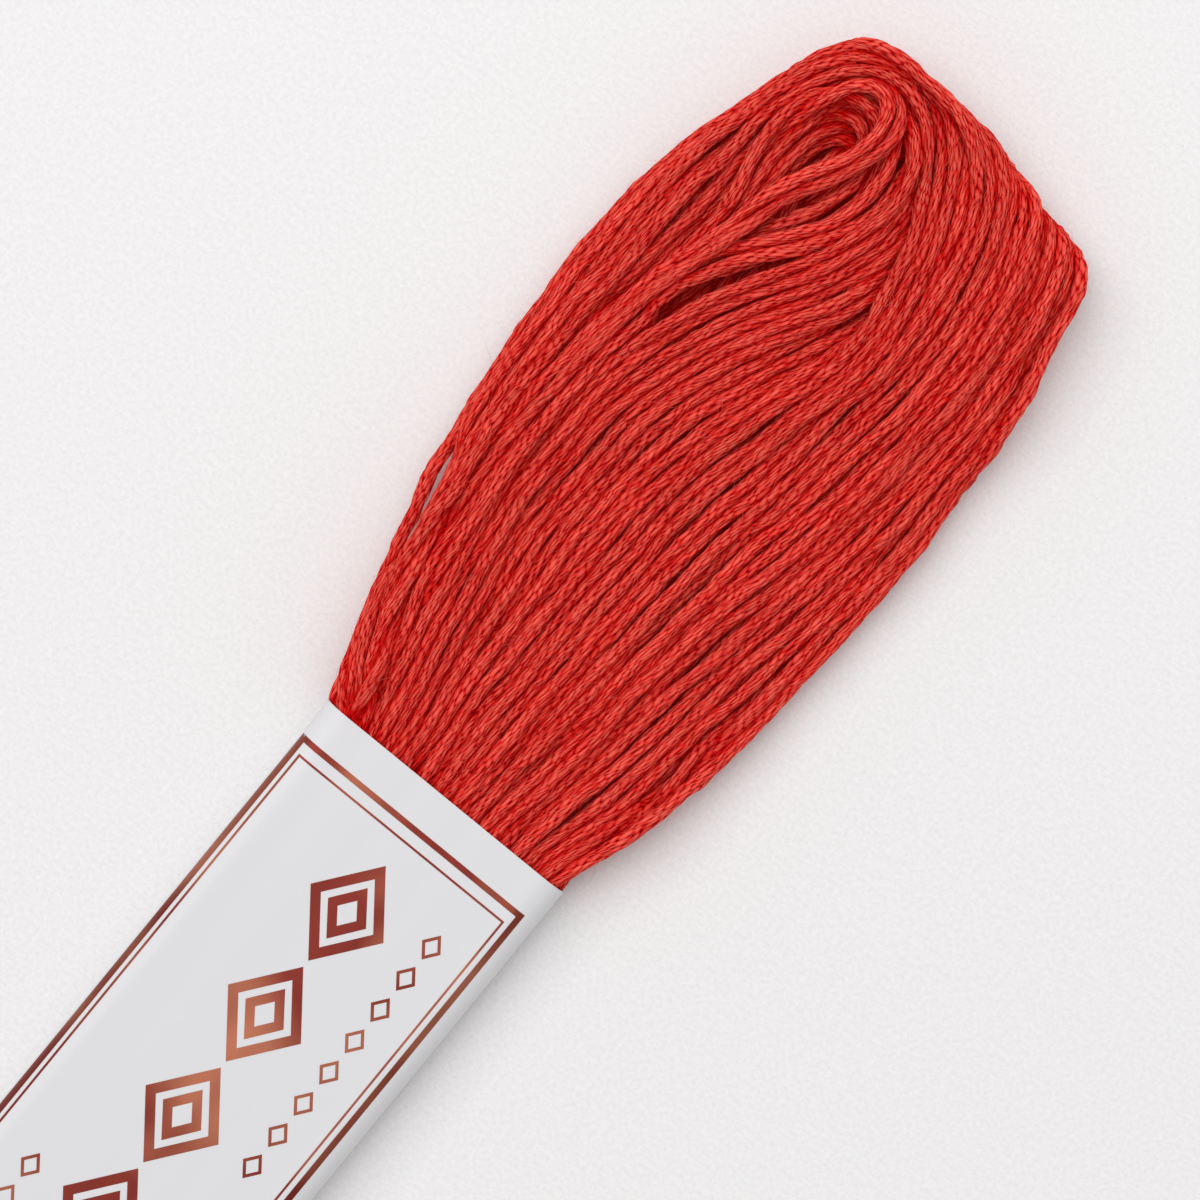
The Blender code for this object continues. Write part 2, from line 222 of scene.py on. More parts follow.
INNER_SWEEP_SECOND = [
    # across, along, lift
    (-9.5, -5, 0.2), (-9.5, 0, 0.2), (-12.6, 12, 0.1), (-15.0, 26, 0.05), (-16.0, 40, 0.05),
    (-15.8, 50, 0.15), (-15.1, 57, 0.25), (-13.6, 62.4, 0.35), (-11.4, 66.4, 0.45),
    (-8.6, 68.2, 0.6), (-5.6, 67.3, 0.75), (-3.9, 65.2, 0.85), (-3.0, 62.6, 0.9),
    (-2.8, 60.0, 0.9), (-3.4, 57.2, 0.92), (-5.1, 54.2, 0.96), (-7.0, 51.6, 1.0),
    (-9.0, 49.2, 1.02), (-10.5, 46.7, 1.0), (-11.5, 43.8, 1.0), (-12.1, 41, 0.96),
    (-12.8, 37, 0.92), (-13.2, 32, 0.9), (-13.4, 26, 0.9), (-13.0, 19, 0.9), (-11.7, 12, 0.9),
    (-9.9, 5, 0.9), (-8.8, 0, 0.9), (-8.8, -5, 0.9),
]
SWEEP_LEFT = [
    # across, along, lift
    (-7.0, -5, 0.1), (-7.0, 0, 0.1), (-7.4, 12, 0.05), (-7.6, 24, 0.03), (-7.4, 38, 0.03),
    (-8.0, 48, 0.03), (-9.6, 56, 0.05), (-11.0, 61.0, 0.12), (-11.3, 65.0, 0.25),
    (-9.6, 67.8, 0.45), (-6.9, 67.9, 0.65), (-4.6, 66.6, 0.85), (-2.9, 64.6, 0.95),
    (-2.0, 62.3, 0.97), (-1.8, 60, 0.97), (-2.2, 57.6, 0.97), (-3.2, 55.2, 0.97),
    (-4.6, 52.8, 0.97), (-6.2, 50.3, 0.97), (-7.6, 48.1, 0.97), (-8.8, 46.0, 0.97),
    (-10.0, 43.6, 0.97), (-11.2, 40.2, 0.97), (-12.2, 36.4, 0.97), (-12.8, 32.5, 0.97),
    (-12.9, 27, 0.97), (-12.9, 22, 0.97), (-12.5, 17.5, 0.97), (-11.6, 12.4, 0.97),
    (-10.2, 6, 0.97), (-8.9, 0, 0.97), (-8.9, -5, 0.97),
]
SWEEP_MIDDLE = [
    # across, along, lift
    (-9.8, -5, 0.1), (-9.8, 0, 0.1), (-11.4, 12, 0.05), (-12.8, 24, 0.03), (-13.4, 38, 0.03),
    (-13.6, 48, 0.03), (-13.6, 56, 0.05), (-13.4, 62, 0.12), (-12.2, 66.4, 0.25),
    (-9.6, 69.0, 0.4), (-6.4, 68.9, 0.5), (-3.8, 67.4, 0.6), (-1.4, 64.8, 0.65),
    (0.1, 62.0, 0.7), (0.9, 59.2, 0.78), (1.0, 56.6, 0.88), (0.3, 54.0, 0.97),
    (-0.8, 51.4, 0.97), (-2.2, 48.7, 0.97), (-3.5, 46.2, 0.97), (-4.6, 44.0, 0.97),
    (-5.6, 41.8, 0.97), (-6.8, 39.0, 0.97), (-7.7, 35.6, 0.97), (-8.2, 32.2, 0.97),
    (-8.3, 27, 0.97), (-8.2, 22, 0.97), (-7.7, 17.5, 0.97), (-7.0, 12.4, 0.97),
    (-6.0, 6, 0.97), (-5.4, 0, 0.97), (-5.4, -5, 0.97),
]
SWEEP_RIGHT = [
    # across, along, lift
    (-11.8, -5, 0.4), (-11.8, 0, 0.4), (-14.6, 12, 0.2), (-17.0, 24, 0.1), (-18.6, 38, 0.08),
    (-18.5, 48, 0.1), (-17.4, 56, 0.15), (-15.7, 62.6, 0.2), (-12.9, 67.4, 0.3),
    (-9.2, 69.6, 0.35), (-5.6, 69.6, 0.4), (-2.6, 68.4, 0.45), (0.2, 65.8, 0.5),
    (2.0, 62.6, 0.55), (2.9, 59.0, 0.58), (3.2, 55.6, 0.6), (2.9, 52.4, 0.68),
    (2.2, 49.4, 0.82), (1.3, 46.4, 0.95), (0.5, 43.8, 0.97), (-0.2, 41.8, 0.97),
    (-1.0, 39.4, 0.97), (-1.7, 37.0, 0.97), (-2.2, 34.2, 0.97), (-2.7, 31.0, 0.97),
    (-3.4, 27, 0.97), (-3.4, 22, 0.97), (-3.2, 17.5, 0.97), (-3.1, 12.4, 0.97),
    (-3.0, 6, 0.97), (-2.6, 0, 0.97), (-2.6, -5, 0.97),
]

# %% Guides of the outer turns, which come over the blunt end from behind and run down the right
OUTER_LEFT = [
    # across, along, lift
    (2.3, -5, 0.97), (2.3, 0, 0.97), (2.6, 6, 0.97), (3.0, 13, 0.97), (3.3, 20, 0.97),
    (3.6, 26, 0.97), (4.1, 31, 0.97), (4.8, 35, 0.97), (5.4, 40, 0.97), (6.1, 46, 0.97),
    (6.5, 51, 0.97), (6.5, 55, 0.97), (6.0, 58.5, 0.97), (5.2, 61.8, 0.97), (4.1, 64.6, 0.97),
    (2.8, 66.9, 0.97), (0.6, 68.8, 0.95), (-1.8, 70.0, 0.85), (-4.6, 70.4, 0.6),
    (-8.4, 69.6, 0.25), (-11.8, 67.2, 0.08), (-14.4, 62.5, 0.0), (-15.6, 56, 0.0),
    (-16.2, 48, 0.0), (-16.2, 38, 0.0), (-15.0, 26, 0.0), (-12.6, 13, 0.0), (-10.0, 0, 0.0),
    (-10.0, -5, 0.0),
]
OUTER_MIDDLE = [
    # across, along, lift
    (5.1, -5, 0.97), (5.1, 0, 0.97), (6.1, 6, 0.97), (7.1, 13, 0.97), (8.0, 20, 0.97),
    (9.0, 26, 0.97), (9.9, 31, 0.97), (10.5, 35, 0.97), (11.3, 40, 0.97), (12.0, 46, 0.97),
    (12.2, 51, 0.97), (12.0, 55, 0.97), (11.6, 58.5, 0.97), (11.0, 61.8, 0.97),
    (10.0, 64.6, 0.97), (9.0, 66.6, 0.95), (7.8, 68.0, 0.8), (6.2, 68.8, 0.5),
    (4.2, 68.7, 0.25), (1.8, 67.2, 0.08), (-0.2, 64.4, 0.0), (-1.6, 60.5, 0.0),
    (-2.3, 55, 0.0), (-2.5, 48, 0.0), (-2.4, 38, 0.0), (-2.2, 26, 0.0), (-1.8, 13, 0.0),
    (-1.4, 0, 0.0), (-1.4, -5, 0.0),
]
OUTER_RIGHT = [
    # across, along, lift
    (11.9, -5, 0.8), (11.9, 0, 0.8), (13.4, 6, 0.7), (14.9, 13, 0.6), (15.9, 20, 0.6),
    (16.5, 26, 0.6), (16.9, 31, 0.6), (17.0, 35, 0.6), (17.2, 40, 0.6), (16.8, 46, 0.65),
    (16.7, 51, 0.7), (16.2, 55, 0.75), (15.5, 58.5, 0.8), (14.8, 61.8, 0.85), (14.1, 64.6, 0.85),
    (13.2, 66.4, 0.75), (11.8, 67.5, 0.5), (10.0, 67.8, 0.25), (8.2, 67.0, 0.1),
    (6.9, 65.2, 0.0), (6.2, 62.4, 0.0), (6.2, 58.5, 0.0), (6.6, 54, 0.0), (7.0, 47, 0.0),
    (7.0, 38, 0.0), (6.6, 26, 0.0), (5.8, 13, 0.0), (5.0, 0, 0.0), (5.0, -5, 0.0),
]

# %% Guides of the turns inside the skein, seen only between the others and from the sides
MIDDLE_OUTER = [
    # across, along, lift
    (-10.6, -5, 0.7), (-10.6, 0, 0.7), (-12.0, 12, 0.68), (-13.4, 25, 0.6), (-14.2, 38, 0.6),
    (-14.4, 50, 0.52), (-13.8, 58, 0.45), (-12.2, 63.6, 0.52), (-9.0, 67.2, 0.6), (-4, 68.8, 0.6),
    (2, 68, 0.6), (7.5, 66.4, 0.6), (11.5, 63.5, 0.6), (14.0, 58, 0.6), (15.8, 50, 0.52),
    (16.4, 40, 0.45), (15.8, 28, 0.45), (13.9, 14, 0.52), (11.6, 0, 0.6), (11.6, -5, 0.6),
]
MIDDLE_INNER = [
    # across, along, lift
    (0.6, -5, 0.72), (0.6, 0, 0.72), (0.2, 12, 0.72), (-0.4, 25, 0.72), (-1.0, 38, 0.64),
    (-1.8, 50, 0.48), (-2.2, 56, 0.4), (-1.8, 60.4, 0.48), (-0.2, 63.2, 0.56), (2.2, 64.2, 0.64),
    (4.6, 63.0, 0.64), (6.2, 60.4, 0.67), (7.0, 56.8, 0.72), (7.2, 52, 0.72), (7.0, 46, 0.72),
    (6.6, 38, 0.72), (5.8, 25, 0.72), (4.6, 12, 0.72), (3.6, 0, 0.72), (3.6, -5, 0.72),
]
UNDER_OUTER = [
    # across, along, lift
    (11.8, -5, 0), (11.8, 0, 0), (14.4, 12, 0), (15.9, 25, 0), (16.6, 38, 0),
    (16.2, 50, 0), (14.9, 58, 0), (13.0, 63.0, 0.1), (10.0, 65.6, 0.23), (6.6, 66.2, 0.38),
    (3.0, 65.4, 0.47), (0.2, 63.2, 0.57), (-1.8, 60.0, 0.57), (-3.0, 56.0, 0.57),
    (-3.6, 51, 0.57), (-3.8, 45, 0.57), (-3.8, 38, 0.57), (-3.6, 25, 0.57), (-3.0, 12, 0.57),
    (-2.4, 0, 0.57), (-2.4, -5, 0.57),
]
UNDER_INNER = [
    # across, along, lift
    (5.0, -5, 0), (5.0, 0, 0), (6.2, 12, 0), (7.6, 25, 0), (8.9, 38, 0),
    (9.0, 50, 0), (9.4, 55, 0), (9.4, 59.0, 0.1), (8.7, 61.4, 0.19), (7.4, 62.4, 0.34),
    (6.0, 61.6, 0.47), (5.0, 59.6, 0.57), (4.5, 56.6, 0.57), (4.3, 53, 0.57),
    (4.2, 49, 0.57), (4.1, 44, 0.57), (4.0, 38, 0.57), (3.6, 25, 0.57), (2.8, 12, 0.57),
    (2.0, 0, 0.57), (2.0, -5, 0.57),
]

# %% [markdown]
# ## Which turn lies where
#
# A fan of turns is not evenly spaced: two or three threads cling together and a furrow opens beside
# them. So each group lists the place of every turn between its first and last guide. A slow wander
# is added to each line, because no thread lies quite straight. In two places the turns part and
# leave a slit. Laying guides round each slit by hand would be fiddly, so a slit is a short table of
# its own, and every line is moved to the side of it on which most of that line lies.

# %% Groups of turns
GROUPS = [
    # name, guides, hold, place of each turn between the first guide (0) and the last (1)
    ("left_edge", (LEFT_EDGE_OUTER, LEFT_EDGE_INNER), 0.10, (0.0, 0.22, 0.47, 0.74, 1.0)),
    ("hook", (HOOK_OUTER, HOOK_INNER), 0.12, (0.06, 0.84)),
    ("inside_eye", (INSIDE_EYE_OUTER, INSIDE_EYE_INNER), 0.08, (0.0, 0.3, 0.6, 0.85, 1.3)),
    ("inner_sweep", (INNER_SWEEP_FIRST, INNER_SWEEP_SECOND), 0.10, (0.0, 1.0)),
    ("sweep", (SWEEP_LEFT, SWEEP_MIDDLE, SWEEP_RIGHT), 0.08,
     (0.0, 0.10, 0.24, 0.34, 0.48, 0.58, 0.71, 0.81, 0.91, 1.0)),
    ("outer", (OUTER_LEFT, OUTER_MIDDLE, OUTER_RIGHT), 0.08,
     (0.02, 0.11, 0.215, 0.305, 0.41, 0.495, 0.595, 0.67, 0.76, 0.835, 0.92, 1.0)),
    ("middle", (MIDDLE_OUTER, MIDDLE_INNER), 0.01, np.linspace(0, 1, 10)),
    ("under", (UNDER_OUTER, UNDER_INNER), 0.01, np.linspace(0, 1, 9)),
]
STEP = 1.0
WANDER = 0.16
SLITS = [
    # height above which threads part, offset that decides the side, (along, across, room to each side)
    (-0.5, -0.6, ((11.0, -15.0, 0.0), (13.5, -15.65, 0.60), (15.2, -16.0, 0.74), (17.8, -16.6, 0.80),
                 (20.2, -17.05, 0.74), (22.0, -17.45, 0.60), (24.7, -17.95, 0.0))),
    (2.7, 0.2, ((41.0, -12.6, 0.0), (43.0, -11.7, 0.55), (44.8, -10.8, 0.95), (47.0, -9.5, 0.90),
                (49.0, -8.3, 0.65), (50.6, -7.2, 0.45), (53.0, -5.6, 0.0))),
]


def between(guides, place):
    """The line at `place` between the guides, from 0 on the first to 1 on the last."""
    at = (len(guides) - 1) * place
    first = min(int(at), len(guides) - 2)
    return guides[first] * (1 - at + first) + guides[first + 1] * (at - first)


def wander(line, wave, amount):
    """Lets a line stray a little to the sides and up and down."""
    run = STEP * np.arange(len(line))
    heading = np.gradient(line, axis=0)
    aside = np.stack([-heading[:, 1], heading[:, 0], 0 * run], axis=1)
    aside /= np.linalg.norm(aside, axis=1)[:, None] + 1e-9
    for length, share in ((41.0, 0.9), (23.0, 0.8), (12.0, 0.5), (7.0, 0.3)):
        start = wave.uniform(0, 2 * math.pi, 2)
        line = line + aside * (amount * share * np.sin(run * 2 * math.pi / length + start[0]))[:, None]
        line[:, 2] += 1.6 * amount * share * np.sin(run * 2 * math.pi / (1.3 * length) + start[1])
    return line


def beside_slit(line, slit, side):
    """Moves points off an open slit, to the side (-1 or 1) on which their thread lies."""
    lowest, _, table = slit
    table = np.array(table)
    middle, room = (np.interp(line[:, 1], table[:, 0], table[:, c], left=0, right=0) for c in (1, 2))
    off = side * (line[:, 0] - middle)
    share = np.clip((line[:, 2] - lowest) / 0.5, 0, 1) * np.clip((2.6 - np.abs(off)) / 0.8, 0, 1)
    line[:, 0] += side * share * np.clip(room / 0.4, 0, 1) * np.maximum(0, room - off)
    return line


def slit_side(line, slit):
    """The side of the slit on which most of the line lies."""
    lowest, decides, table = slit
    table = np.array(table)
    off = line[:, 0] - np.interp(line[:, 1], table[:, 0], table[:, 1])
    near = (np.abs(off) < 2.0) & (line[:, 2] > lowest)
    near &= (line[:, 1] > table[0, 0]) & (line[:, 1] < table[-1, 0])
    return 1 if not near.any() or off[near].mean() > decides else -1


turns = []
for name, guides, hold, places in GROUPS:
    guides = [at_height(guide) for guide in guides]
    for place in places:
        line = soft_curve(between(guides, place), STEP)
        line = wander(line, np.random.default_rng(7 * len(turns) + 3), WANDER)
        for slit in SLITS:
            line = beside_slit(line, slit, slit_side(line, slit))
        turns.append((name, line, hold))
slit_sides = [np.concatenate([np.full(len(line), slit_side(line, slit)) for _, line, _ in turns])
              for slit in SLITS]
length = sum(len(line) for _, line, _ in turns) * STEP
print(len(turns), "long turns,", round(length / 1000, 2), "m of thread in the long loops")

# %% [markdown]
# ## Pushing the threads apart
#
# The hand-laid lines cross and crowd. Real threads cannot share a place, so every point that is
# nearer to another thread than nearly one thread's thickness is pushed off it, a little each round.
# The push is shared along the thread, so the line stays smooth, and a weak pull keeps each turn near
# the way it was laid. A few places stay too close, mostly under other turns or in the band's mouth.
# Rope physics could do this too, but it has many more settings to find.


# %% Find threads that are too close
def neighbours(places, thread_of, order, reach):
    """Pairs of points on different threads, or far apart on one thread, closer than `reach`."""
    tree = kdtree.KDTree(len(places))
    for k, place in enumerate(places):
        tree.insert(place, k)
    tree.balance()
    first, second = [], []
    for k, place in enumerate(places):
        for _, other, _ in tree.find_range(place, reach):
            if thread_of[other] != thread_of[k] or abs(order[other] - order[k]) > 6:
                first.append(k)
                second.append(other)
    return np.array(first), np.array(second)


# %% Push them apart
def relax(lines, hold, contain, rounds, clearance):
    """Pushes the points of all lines apart for some rounds, so that threads come to lie side by side."""
    laid = np.concatenate(lines)
    thread_of = np.concatenate([np.full(len(line), k) for k, line in enumerate(lines)])
    order = np.concatenate([np.arange(len(line)) for line in lines])
    hold = np.concatenate([np.full(len(line), h) for line, h in zip(lines, hold)])[:, None]
    last = np.cumsum([len(line) for line in lines]) - 1
    start = np.concatenate([[0], last[:-1] + 1])
    before, after = np.arange(len(laid)) - 1, np.arange(len(laid)) + 1
    before[start], after[last] = start, last
    moved = np.zeros_like(laid)
    for n in range(rounds):
        places = laid + moved
        if n % 8 == 0:
            a, b = neighbours(places, thread_of, order, clearance * 1.6)
        heading = places[after] - places[before]
        heading /= np.linalg.norm(heading, axis=1)[:, None] + 1e-9
        apart = places[a] - places[b]
        past = np.einsum("ij,ij->i", apart, heading[b])
        apart -= past[:, None] * heading[b]
        distance = np.linalg.norm(apart, axis=1)
        push = np.where(np.abs(past) < 0.62 * STEP, np.maximum(0, clearance - distance), 0)
        shove = apart * (0.5 * push / (distance + 1e-6))[:, None]
        total = np.stack([np.bincount(a, shove[:, c], len(laid)) - np.bincount(b, shove[:, c], len(laid))
                          for c in range(3)], axis=1)
        touching = (push > 0).astype(float)
        count = np.bincount(a, touching, len(laid)) + np.bincount(b, touching, len(laid))
        moved += 1.4 * total / np.maximum(count, 1)[:, None]
        moved *= 1 - hold * np.array([1.0, 1.0, 0.4]) * (1 - n / rounds)
        for _ in range(2):
            moved += 0.5 * ((moved[before] + moved[after]) / 2 - moved)
        moved = contain(laid + moved) - laid
    places = laid + moved
    return [places[s:e + 1] for s, e in zip(start, last)]


# %% [markdown]
# ## What holds the pile
#
# Three things hold the pile from outside: the table, the paper sleeve, and the press that once
# squeezed the loops flat. The press leaves an outline that is fuller on the left and runs to a
# blunt, slanted end, so that outline is given as a table, and the middle line of each thread stays
# a radius inside it. The crests of a thread may still stand a trace past it.

# %% Outline of the long loops
SIDES = np.array([
    # along, left side, right side
    (-6, -13.2, 13.2), (0, -12.7, 12.7), (2.5, -13.4, 13.2), (5, -14.2, 13.9), (10, -15.9, 15.0),
    (15, -17.4, 16.0), (20, -18.5, 16.6), (25, -19.2, 17.0), (30, -19.8, 17.4), (35, -20.2, 17.6),
    (40, -20.5, 17.7), (45, -20.4, 17.4), (50, -20.0, 17.3), (55, -19.0, 16.6), (58, -18.2, 16.0),
    (60, -17.5, 15.5), (65, -15.8, 14.4), (67, -14.9, 14.0), (69, -13.4, 14.0), (74, -12.4, 14.0),
])
END = np.array([
    # across, how far along the blunt end reaches
    (-14.5, 67.9), (-13.0, 69.4), (-11.0, 70.6), (-9.0, 70.8), (-6.5, 70.5), (-4.5, 70.9),
    (-3.0, 71.1), (1.0, 70.8), (3.0, 70.3), (5.0, 69.5), (7.0, 68.7), (8.5, 68.5), (10.0, 68.6),
    (11.5, 68.2), (13.0, 67.1), (14.0, 65.9), (15.0, 63.5),
])
SLEEVE_CORNER = 2.2
FREE_PLAY = 0.05
PILE_SLACK = 0.25


def inside_sleeve(places):
    """Keeps the threads' middle lines off the table and, under the paper, inside the flattened sleeve."""
    held = np.clip((3.0 - places[:, 1]) / 3.0, 0, 1)
    room = PAPER + RADIUS + FREE_PLAY
    low, high = RADIUS + FREE_PLAY + PAPER * held, BAND_TOP - room - PILE_SLACK + 6.0 * (1 - held)
    places[:, 2] = np.clip(places[:, 2], low, high)
    wall = BAND_HALF - room + 12.0 * (1 - held)
    corner = SLEEVE_CORNER - PAPER
    drop = np.maximum(corner - (places[:, 2] - low), corner - (high - places[:, 2]))
    tucked = corner - np.sqrt(np.maximum(corner ** 2 - np.clip(drop, 0, corner) ** 2, 0))
    wall = wall - np.where(held > 0.5, tucked, 0)
    places[:, 0] = np.clip(places[:, 0], -wall, wall)
    return places


def inside_press(places):
    """Keeps the long loops inside the outline that the press gave them."""
    places = inside_sleeve(places)
    along = places[:, 1]
    left = np.interp(along, SIDES[:, 0], SIDES[:, 1]) + RADIUS
    right = np.interp(along, SIDES[:, 0], SIDES[:, 2]) - RADIUS
    for slit, side in zip(SLITS, slit_sides):
        places = beside_slit(places, slit, side)
    places[:, 0] = np.clip(places[:, 0], left, right)
    places[:, 1] = np.minimum(along, np.interp(places[:, 0], END[:, 0], END[:, 1]) - RADIUS)
    return places


# %% Relax the long loops
LONG_ROUNDS, LONG_CLEARANCE = 400, 1.03
relaxed = relax([line for _, line, _ in turns], [h for _, _, h in turns], inside_press,
                LONG_ROUNDS, LONG_CLEARANCE)
print("top of the pile", round(max(line[:, 2].max() for line in relaxed) + RADIUS, 2), "mm")

# %% [markdown]
# ## Skinning a thread
#
# The section of a stranded thread is not a circle: six strands lie round the middle, so its outline
# has six round crests. The section turns as it moves along, which lays the crests in the slanting
# ovals one sees on the thread. A frame carried along the line without spin keeps the twist even
# where the thread bends. Every strand also swells and thins on its own, as a soft thread does.


# %% Frames along a line
def carried_frames(line):
    """The heading and two cross directions at each point, carried along without spin."""
    heading = np.gradient(line, axis=0)
    heading /= np.linalg.norm(heading, axis=1)[:, None]
    side = np.cross(heading[0], (0.0, 0.0, 1.0))
    sides = [side / np.linalg.norm(side)]
    for k in range(1, len(line)):
        side = sides[-1] - heading[k] * np.dot(sides[-1], heading[k])
        sides.append(side / np.linalg.norm(side))
    sides = np.array(sides)
    return heading, sides, np.cross(heading, sides)


def slow_noise(own, run, spacing, amount, columns=1):
    """Smooth random values along a thread, one column for each strand."""
    knots = np.arange(0, run[-1] + 2 * spacing, spacing)
    values = own.normal(0, amount, (len(knots), columns))
    return np.stack([np.interp(run, knots, values[:, c]) for c in range(columns)], axis=1)


# %% Rings of a twisted thread
VALLEY = 0.47
CREST = 0.575
PLY_STEP = 1.05
PRESSED = 1.03
COLUMNS = 12


def thread_rings(line, per_strand, step, seed):
    """Rings of points on the thread's surface, how far along each is, and how high on its strand."""
    own = np.random.default_rng(seed)
    line = even_steps(line, step)
    heading, side, lift = carried_frames(line)
    run = np.arange(len(line)) * step
    count = per_strand * STRANDS
    strand = np.arange(count) // per_strand
    off = (np.arange(count) % per_strand / per_strand - 0.5) * 2 * math.pi / STRANDS
    crest = 1 - np.abs(off / off.min()) ** 1.8
    reach = VALLEY + (CREST - VALLEY) * crest
    swell = slow_noise(own, run, 2.2, 0.08, STRANDS) + slow_noise(own, run, 0.9, 0.07, STRANDS)
    stray = slow_noise(own, run, 3.2, 0.15, STRANDS) + slow_noise(own, run, 1.0, 0.09, STRANDS)
    swell, stray = swell[:, strand], stray[:, strand]
    turn = 2 * math.pi * (run / TWIST_LENGTH + own.random()) + slow_noise(own, run, 14.0, 0.3)[:, 0]
    angle = turn[:, None] + 2 * math.pi * np.arange(count) / count + stray * (0.3 + crest)
    out = reach * (1 + swell * (0.3 + 0.7 * crest)) * (1 + slow_noise(own, run, 9.0, 0.02))
    rings = (line[:, None, :] + side[:, None, :] * (PRESSED * np.cos(angle) * out)[:, :, None]
             + lift[:, None, :] * (np.sin(angle) * out / PRESSED)[:, :, None])
    return rings, run, crest


# %% How closely other threads press on each point
PRESS_REACH = 1.75
TOUCHING = 0.98
PRESS_FADE = 0.42


# The cotton material darkens its colour by this value: painted shade where threads touch.
def crowding(line, rings, others, own):
    """For each ring point, 1 where another thread touches it and 0 where it lies open."""
    tree, owner = others
    heading = carried_frames(line)[0]
    crowd = np.zeros(rings.shape[:2])
    for k, centre in enumerate(line):
        close = [place for place, other, _ in tree.find_range(centre, PRESS_REACH) if owner[other] != own]
        if close:
            apart = rings[k][:, None, :] - np.array(close)[None, :, :]
            apart -= (apart @ heading[k])[:, :, None] * heading[k]
            nearest = np.sqrt((apart ** 2).sum(axis=2)).min(axis=1)
            crowd[k] = np.clip((TOUCHING - nearest) / PRESS_FADE, 0, 1)
    return crowd


def tree_of(lines):
    """A search tree of all points on the lines, and the thread that each belongs to."""
    places = np.concatenate(lines)
    tree = kdtree.KDTree(len(places))
    for k, place in enumerate(places):
        tree.insert(place, k)
    tree.balance()
    return tree, np.concatenate([np.full(len(line), k) for k, line in enumerate(lines)])


# %% Mesh from rings
def add_mesh(name, points, corners, sizes, smooth=True):
    """An object from points in millimetres and faces given as corner numbers and corner counts."""
    mesh = bpy.data.meshes.new(name)
    mesh.vertices.add(len(points))
    mesh.vertices.foreach_set("co", (np.asarray(points) * MM).ravel())
    mesh.loops.add(len(corners))
    mesh.loops.foreach_set("vertex_index", corners)
    mesh.polygons.add(len(sizes))
    mesh.polygons.foreach_set("loop_start", np.concatenate([[0], np.cumsum(sizes)[:-1]]))
    mesh.update(calc_edges=True)
    mesh.polygons.foreach_set("use_smooth", np.full(len(sizes), smooth))
    obj = bpy.data.objects.new(name, mesh)
    bpy.context.scene.collection.objects.link(obj)
    return obj


def thread_object(name, lines, chosen, per_strand, step, seed, edge, direction):
    """One object from the chosen threads, laid from the band's edge outwards."""
    points, corners, sizes, texture = [], [], [], []
    values = {"crest": [], "tone": [], "crowd": []}
    base = 0
    others = tree_of(lines)
    for k, own in enumerate(chosen):
        rings, run, crest = thread_rings(lines[own], per_strand, step, seed + k)
        n, count = rings.shape[:2]
        crowd = crowding(even_steps(lines[own], step), rings, others, own)
        rings[:, :, 1] = edge + direction * rings[:, :, 1]
        ring = np.arange(count)
        after = (ring + 1) % count
        row = base + np.arange(n - 1)[:, None] * count
        quads = np.stack([row + ring, row + count + ring, row + count + after, row + after], axis=2)
        v = run[:-1, None] + 0 * ring
        u = ring / per_strand + 0 * v
        places = np.stack([u, v, u, v + step, u + 1 / per_strand, v + step, u + 1 / per_strand, v], axis=2)
        if direction < 0:
            quads = quads[:, :, ::-1]
            places = places.reshape(n - 1, count, 4, 2)[:, :, ::-1].reshape(n - 1, count, 8)
        caps = [base + ring, base + (n - 1) * count + ring[::-1]]
        if direction < 0:
            caps = [cap[::-1] for cap in caps]
        points.append(rings.reshape(-1, 3))
        corners += [quads.ravel(), *caps]
        sizes += [np.full((n - 1) * count, 4), [count, count]]
        texture += [places.ravel(), np.zeros(4 * count)]
        values["crest"].append(np.tile(crest, n))
        values["crowd"].append(crowd.ravel())
        values["tone"].append(np.full(n * count, np.random.default_rng(seed + 500 + k).random()))
        base += n * count
    obj = add_mesh(name, np.concatenate(points), np.concatenate(corners), np.concatenate(sizes))
    for label, parts in values.items():
        attribute = obj.data.attributes.new(label, "FLOAT", "POINT")
        attribute.data.foreach_set("value", np.concatenate(parts).astype(np.float32))
    layer = obj.data.uv_layers.new(name="strand_run")
    layer.data.foreach_set("uv", np.concatenate(texture).astype(np.float32))
    triangles = sum(polygon.loop_total - 2 for polygon in obj.data.polygons)
    print(name, len(chosen), "threads,", triangles, "triangles")
    return obj


# %% The long loops
PIECES = [
    # name, groups, points a strand, step between rings
    ("left_edge_turns", ("left_edge",), 4, 0.5),
    ("hook_turns", ("hook", "inside_eye", "inner_sweep"), 4, 0.5),
    ("sweep_turns", ("sweep",), 4, 0.5),
    ("outer_turns", ("outer",), 4, 0.5),
    ("inside_turns", ("middle", "under"), 2, 0.8),
]
floss = []
for number, (name, groups, per_strand, step) in enumerate(PIECES):
    chosen = [k for k, (group, _, _) in enumerate(turns) if group in groups]
    floss.append(thread_object(name, relaxed, chosen, per_strand, step, 100 * number, UPPER_EDGE, 1))

# %% [markdown]
# ## The short loops
#
# Below the band the turns come out again and fold over in short loops. Each goes out on top, turns
# over the end and comes back underneath, and one loop lies inside another.

# %% Short loops
SHORT_REACH = 27.4
LOOPS_ACROSS = 25
SHORT_WIDTHS = ((-5, 11.7), (0, 11.7), (6, 12.8), (12, 13.2), (18, 13.0), (22, 12.4))


